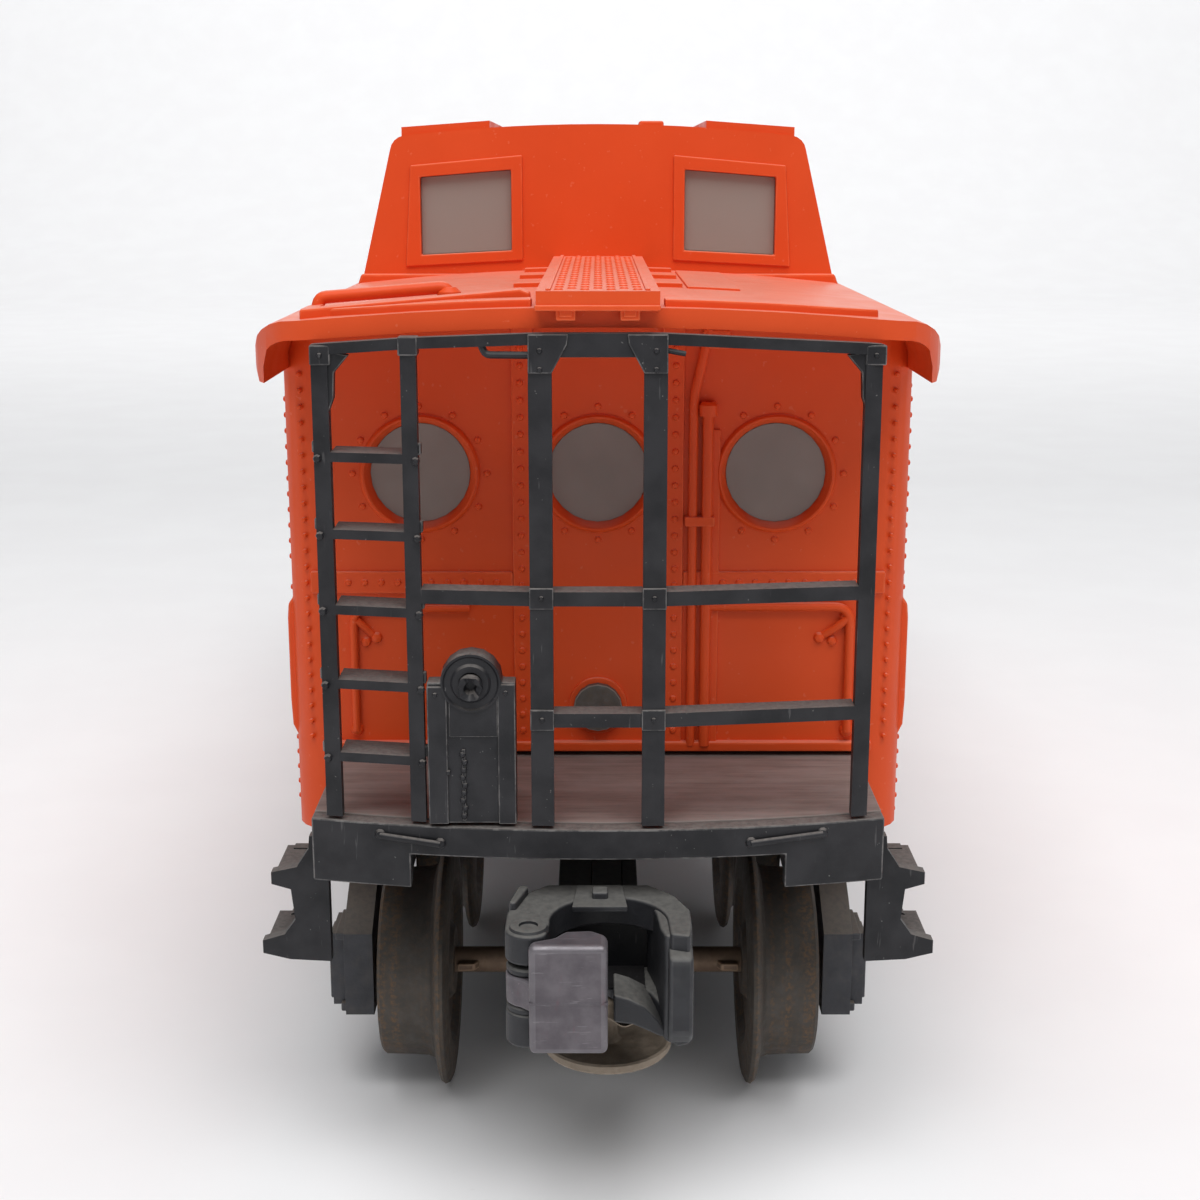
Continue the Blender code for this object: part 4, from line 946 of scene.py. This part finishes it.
def brake_relief():
    """Panel seam, chain guide and half-round boss on the brake stand's face."""
    low, high = bottom_of("brake_stand_front"), top_of("brake_stand_front")
    face = low.y
    middle = (low.x + high.x) / 2
    seam = low.x + 1.75
    parts = Relief()
    parts.box(low.x, seam - 0.08, face - 0.22, face + 0.4, low.z, 46.7, 0.1)
    parts.box(high.x - 1.5, high.x, face - 0.25, face + 0.4, low.z, 46.9, 0.1)
    parts.box(seam + 0.08, high.x - 1.5, face - 0.14, face + 0.4, 42.3, 46.7, 0.07)
    guide = middle - 0.7
    parts.box(guide - 0.14, guide + 0.14, face - 0.2, face + 0.3, 34.9, 41.2, 0.05)
    for index in range(9):
        z = 35.3 + 0.68 * index
        wobble = 0.10 * math.sin(2.1 * index)
        parts.dome((guide + wobble, face - 0.16, z), (0, -1, 0.3), 0.27, 0.26, 8)
    rim = [(-0.45, 1.0), (-0.45, 1.5), (-0.2, 1.7), (-0.2, 2.2), (-0.35, 2.35), (-0.3, 2.52),
        (0.4, 2.55), (0.4, 1.0)]
    parts.turned(rim, "Y", 40, (middle, face, 47.0))
    for x, z in ((low.x + 0.7, 46.0), (high.x - 0.8, 46.2), (middle - 2.0, 39.2)):
        parts.dome((x, face - 0.22, z), AHEAD, 0.22, 0.22)
    return gathered(parts)


def torn_stub():
    """Jagged remains of the brake wheel's hub: a ragged ring of short splinters."""
    low, high = bottom_of("brake_wheel_stub_front"), top_of("brake_wheel_stub_front")
    middle = (low + high) / 2
    spokes = ring_of(18)
    rings = []
    for radius, depth, jag in ((1.05, 0.6, 0.0), (1.0, -0.25, 0.45), (0.55, -0.05, 0.35),
            (0.35, 0.5, 0.0)):
        ring = []
        for u, v in spokes:
            reach = radius * (1 + 0.25 * random.uniform(-jag, jag))
            lift = depth - jag * random.random()
            ring.append((middle.x + reach * u, middle.y + lift, middle.z + reach * v))
        rings.append(ring)
    return skin(rings)


def dress_platforms():
    for end in ENDS:
        for name, width, surface in (("end_railing_", 0.13, BLACK), ("end_sill_", 0.15, BLACK),
                ("brake_stand_", 0.14, BLACK), ("platform_deck_", 0.12, DECK),
                ("body_screw_", 0.1, BRIGHT)):
            soft_copy(name + end, width, surface, "carbody")
        for side in ("left", "right"):
            soft_copy("corner_steps_" + end + "_" + side, 0.14, BLACK, "carbody")
    soft_copy("brake_wheel_rear", 0.1, BLACK, "carbody")
    soft_copy("smoke_jack", 0.12, BLACK, "carbody")
    at_both_ends("railing_relief", railing_relief, BLACK)
    at_both_ends("sill_relief", sill_relief, BLACK)
    at_both_ends("brake_relief", brake_relief, BLACK)
    show("torn_stub", torn_stub(), BLACK, "carbody", ["brake_wheel_stub_front"])
    paint(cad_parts["chassis_floor"], FLOOR_STEEL)


# ---------------------------------------------------------------- trucks

def wheel_mesh():
    """Flanged wheel on the +X side, turned finely, with a cast dish and a worn tread."""
    bore = 1.28
    face, back = 21.0, 14.2
    profile = [(back + 0.2, bore), (face - 1.0, bore), (face - 1.0, 2.9), (face - 1.2, 3.3),
        (face - 2.3, 4.1), (face - 2.6, 4.6), (face - 2.6, 6.3), (face - 2.2, 6.9),
        (face - 0.3, 7.6), (face, 7.85), (face, 8.85), (face - 0.3, 9.12), (face - 2.6, 9.16),
        (back + 2.4, 9.26), (back + 1.75, 9.5), (back + 1.45, 10.0), (back + 1.25, 11.1),
        (back + 1.05, 11.75), (back + 0.7, 12.0), (back + 0.35, 11.85), (back + 0.1, 11.3),
        (back, 9.6), (back, 8.2), (back + 0.7, 7.5), (back + 0.7, 4.0), (back, 3.3), (back, bore)]
    return lathe(profile, "X", 96)


def axle_mesh():
    """Round axle with turned journals; the swaged wings inside each wheel taper off."""
    ends = 23.8
    shoulder = 21.7
    profile = [(-ends, 0), (-ends, 0.75), (-ends + 0.2, 0.9), (-shoulder, 0.9), (-shoulder, 1.25),
        (shoulder, 1.25), (shoulder, 0.9), (ends - 0.2, 0.9), (ends, 0.75), (ends, 0)]
    parts = Relief([lathe(profile, "X", 28)])
    for side in (-1, 1):
        outline = [(side * 11.6, 0.9), (side * 12.2, 2.0), (side * 13.9, 2.1), (side * 13.9, -2.1),
            (side * 12.2, -2.0), (side * 11.6, -0.9)]
        parts.solid(outline, "Z", -0.4, 0.4, 0.2)
    return gathered(parts)


def side_frame_relief(side):
    """Springs, bolts, journal lids and ribs on one side frame, in truck coordinates."""
    inner, outer = 24.8, 26.1
    parts = Relief()
    for end in (-1, 1):
        y = end * HALF_WHEELBASE
        lid = [(y - 2.3, AXLE_Z - 3.1), (y + 2.3, AXLE_Z - 3.1), (y + 2.3, AXLE_Z + 2.6),
            (y + 1.4, AXLE_Z + 3.5), (y - 1.4, AXLE_Z + 3.5), (y - 2.3, AXLE_Z + 2.6)]
        parts.solid(lid, "X", outer - 0.2, outer + 0.3, 0.15)
        for z in (-2.1, 2.1):
            parts.dome((outer + 0.25, y, AXLE_Z + z), OUTWARD, 0.4, 0.3)
        parts.box(inner - 0.3, inner + 0.5, y - 3.2, y + 3.2, 7.9, 8.8, 0.15)
        parts.box(inner - 0.3, inner + 0.9, y - 3.0, y + 3.0, 15.3, 16.1, 0.15)
        chord = [(end * 15.6, 17.0), (end * 7.4, 23.2), (end * 6.4, 25.4), (end * 5.6, 25.4),
            (end * 6.6, 22.0), (end * 15.2, 15.6)]
        parts.solid(chord, "X", inner - 0.3, inner + 0.45, 0.15)
        coil = []
        for step in range(73):
            angle = FULL_TURN * 5 * step / 72
            x = inner + 0.2 + 0.95 * math.cos(angle)
            y = end * 2.5 + 1.25 * math.sin(angle)
            coil.append((x, y, 9.6 + 8.0 * step / 72))
        parts.bar(coil, 0.36, 8)
        parts.dome((inner, end * 5.6, 24.2), OUTWARD, 0.55, 0.45)
    parts.box(inner - 0.4, inner + 1.1, -5.0, 5.0, 17.8, 20.2, 0.2)
    parts.box(inner - 0.4, inner + 1.2, -5.4, 5.4, 8.0, 9.4, 0.2)
    whole = gathered(parts)
    if side < 0:
        mirrored_x(whole)
    return whole


def coupler_mesh():
    """Drawbar and jaws: a top plate round the throat, a lower lip, a side wall and a guard bar."""
    pin_x, pin_y = COUPLER_PIN_X, COUPLER_PIN_Y
    throat_y = pin_y + 2.2
    back = throat_y + 5.6
    face = -51.3
    top_plate = arc(pin_x, pin_y, 1.95, 175, 320, 10)
    top_plate += arc(0.9, throat_y - 0.6, 4.9, 186, 90, 10)
    top_plate += arc(0.9, throat_y - 0.6, 4.9, 80, 0, 9)
    top_plate += [(5.9, pin_y - 1.2), (7.5, pin_y - 1.6), (7.75, pin_y + 0.6), (7.75, back - 4.0),
        (6.6, back - 1.0), (4.4, back + 1.4), (-4.4, back + 1.4), (-6.9, back - 1.2),
        (-7.6, back - 4.6)]
    parts = Relief()
    parts.solid(top_plate, "Z", 25.6, 28.2, 0.28, 3)
    lower = arc(pin_x, pin_y, 1.95, 175, 320, 10)
    lower += arc(0.9, throat_y + 0.3, 3.6, 186, 90, 6)
    lower += [(2.4, throat_y + 2.6), (4.4, throat_y + 0.4), (5.6, pin_y - 0.6), (6.6, pin_y - 1.6),
        (7.6, pin_y - 1.2), (7.75, back - 4.0), (4.4, back + 1.4), (-4.4, back + 1.4),
        (-7.6, back - 4.6)]
    parts.solid(lower, "Z", 18.3, 21.2, 0.28, 3)
    lip = [(1.3, 22.5), (2.6, 22.1), (3.9, 21.4), (5.0, 20.2), (5.8, 18.9), (5.2, 18.7),
        (4.2, 19.2), (2.9, 19.8), (1.3, 20.0)]
    parts.solid(lip, "Y", pin_y - 0.6, throat_y + 1.6, 0.22, 3)
    wall = [(5.5, pin_y - 0.9), (5.1, pin_y + 0.8), (4.9, throat_y + 1.4), (4.2, back - 0.6),
        (6.4, back - 1.0), (7.75, back - 4.0), (7.75, pin_y + 0.2), (7.2, pin_y - 0.9)]
    parts.solid(wall, "Z", 18.6, 27.9, 0.3, 3)
    parts.box(-4.4, 4.4, back + 0.3, back + 1.4, 18.6, 28.0, 0.2)
    parts.box(-7.4, -4.6, pin_y + 2.2, back - 1.4, 18.6, 28.0, 0.3)
    guard = [(face + 0.3, 25.2), (face + 0.3, 20.2), (face + 0.9, 19.3), (face + 1.7, 18.8),
        (pin_y - 0.2, 19.2), (pin_y + 1.4, 20.4), (pin_y + 1.4, 26.6), (pin_y - 0.6, 26.9),
        (face + 1.0, 26.6)]
    parts.solid(guard, "X", 5.75, 7.75, 0.34, 3)
    plate = [(-2.2, back - 4.2), (2.5, back - 4.2), (2.1, back + 0.6), (-1.8, back + 0.6)]
    parts.solid(plate, "Z", 28.0, 28.5, 0.14)
    parts.box(-0.5, 0.85, back - 2.6, back - 1.1, 28.2, 29.1, 0.22, 3)
    rib = [(-7.5, back - 4.2), (-6.9, back - 4.3), (-5.9, back - 0.6), (-6.8, back - 0.4)]
    parts.solid(rib, "Z", 27.8, 28.9, 0.25, 3)
    ear_ring = [(28.0, 0.75), (28.42, 0.8), (28.5, 1.1), (28.4, 1.5), (28.0, 1.7)]
    parts.turned(ear_ring, "Z", 32, (pin_x, pin_y, 0))
    for z in (24.6, 21.2):
        washer = [(z, 0.8), (z, 1.75), (z + 0.15, 1.85), (z + 0.45, 1.85), (z + 0.6, 1.7),
            (z + 0.6, 0.8)]
        parts.turned(washer, "Z", 28, (pin_x, pin_y, 0))
    for sizes in ((-3.6, -0.6, back, -12.0, 20.0, 25.2), (2.2, 3.6, back, -12.0, 20.0, 25.2),
            (-0.6, 2.2, back, -37.3, 20.0, 25.2), (-0.6, 2.2, -34.5, -12.0, 20.0, 25.2),
            (-3.6, 3.6, -16.0, -12.0, 16.2, 25.2), (-3.6, 3.6, -12.5, -3.0, 16.2, 19.2),
            (-3.6, 3.6, 3.0, 4.6, 16.2, 19.2), (-3.6, -3.0, -3.2, 3.2, 16.2, 19.2),
            (3.0, 3.6, -3.2, 3.2, 16.2, 19.2)):
        parts.box(*sizes, 0.12)
    return gathered(parts)


def throat_shade_mesh():
    """Near-black sheets at the back and floor of the throat and in the blind bore on top of the
    pin's ear: painted shade where the deep openings fall dark.
    """
    back = COUPLER_PIN_Y + 2.2 + 5.6
    shade_sheet = block(-4.3, 4.3, back - 0.3, back + 0.35, 21.2, 25.7)
    floor = block(-3.8, 4.0, COUPLER_PIN_Y + 3.2, back - 0.3, 21.15, 21.35)
    bore = lathe([(27.9, 0), (27.9, 0.82), (28.14, 0.82), (28.14, 0)], "Z", 28)
    return gathered([shade_sheet, floor, moved(bore, (COUPLER_PIN_X, COUPLER_PIN_Y, 0))])


def leaf_mesh():
    """Thin bronze leaf under the throat, slightly rippled."""
    steps = 14
    rows = []
    for step in range(steps + 1):
        x = 0.6 + 3.4 * step / steps
        z = 19.6 + 0.3 * math.sin(2.2 * x) - 0.12 * x
        rows.append([(x, -47.4, z), (x, -44.0, z + 0.3), (x, -44.0, z + 0.42),
            (x, -47.4, z + 0.12)])
    return skin(rows)


def knuckle_mesh():
    """Hooked jaw about its pin: rounded pulling face, parting line and a flat tail."""
    face = -3.4
    right = 6.5
    outline = [(0.1, face), (right, face), (right, face + 2.6), (right - 1.3, face + 3.6),
        (2.9, face + 3.4), (2.0, face + 2.1), (0.1, face + 1.3)]
    hook = soften(prism(outline, "Z", 18.5, 28.0), 0.55, 5)
    line = soften(block(0.08, right + 0.02, face - 0.035, face + 0.6, 22.95, 23.1), 0.03)
    tail = [(0.4, face + 0.6), (4.0, face + 1.0), (4.2, 0.6)] + arc(0, 0, 1.9, 60, 250, 14)
    tail = soften(prism(tail, "Z", 21.9, 24.5), 0.2, 3)
    return gathered([hook, line, tail])


def disc_mesh():
    """Stamped disc with a rolled rim, on its stem."""
    z = AXLE_Z
    profile = [(z - 0.5, 0), (z - 0.5, 5.2), (z - 0.45, 5.6), (z - 0.2, 5.8), (z + 0.35, 5.8),
        (z + 0.5, 5.62), (z + 0.42, 5.3), (z + 0.25, 5.0), (z + 0.25, 1.3), (z + 0.6, 1.0),
        (24.2, 1.0), (24.4, 0.8), (24.4, 0)]
    return lathe(profile, "Z", 72)


def dress_truck(end, turn):
    pivot = (0, -TRUCK_CENTRE, 0)
    body = "truck_" + end

    def placed(mesh, offset=(0, 0, 0)):
        return moved(moved(moved(mesh, offset), pivot), turn=turn)

    soft_copy("truck_frame_" + end, 0.22, CASTING, body)
    show("coupler_jaws_" + end, placed(coupler_mesh()), COUPLER, body, ["coupler_head_" + end])
    # Painted shade: near-black sheets in the throat and the pin bore.
    show("coupler_painted_shade_" + end, placed(throat_shade_mesh()), THROAT_SHADE, body)
    show("coupler_leaf_" + end, placed(leaf_mesh()), DISC, body)
    soft_copy("knuckle_pin_" + end, 0.1, BRIGHT, body)
    soft_copy("kingpin_" + end, 0.12, BRIGHT, "carbody")
    show("knuckle_cast_" + end, placed(knuckle_mesh(), (COUPLER_PIN_X, COUPLER_PIN_Y, 0)), ZINC,
        "knuckle_" + end, ["knuckle_" + end])
    show("armature_turned_" + end, placed(disc_mesh(), ARMATURE_AXIS), DISC, "armature_" + end,
        ["armature_disc_" + end])
    relief = gathered([side_frame_relief(1), side_frame_relief(-1)])
    show("side_frame_relief_" + end, placed(relief), CASTING, body)
    for position, offset in (("outer", -HALF_WHEELBASE), ("inner", HALF_WHEELBASE)):
        place = (0, offset, AXLE_Z)
        wheelset = "wheelset_" + end + "_" + position
        name = end + "_" + position
        show("axle_turned_" + name, placed(axle_mesh(), place), AXLE, wheelset, ["axle_" + name])
        for side in ("right", "left"):
            mesh = wheel_mesh()
            if side == "left":
                mesh = mirrored_x(mesh)
            show("wheel_turned_" + name + "_" + side, placed(mesh, place), WHEEL, wheelset,
                ["wheel_" + name + "_" + side])


# ---------------------------------------------------------------- everything

make_camera()
make_stage()
dress_shell()
dress_platforms()
for end_name, half_turn in ENDS.items():
    dress_truck(end_name, half_turn)
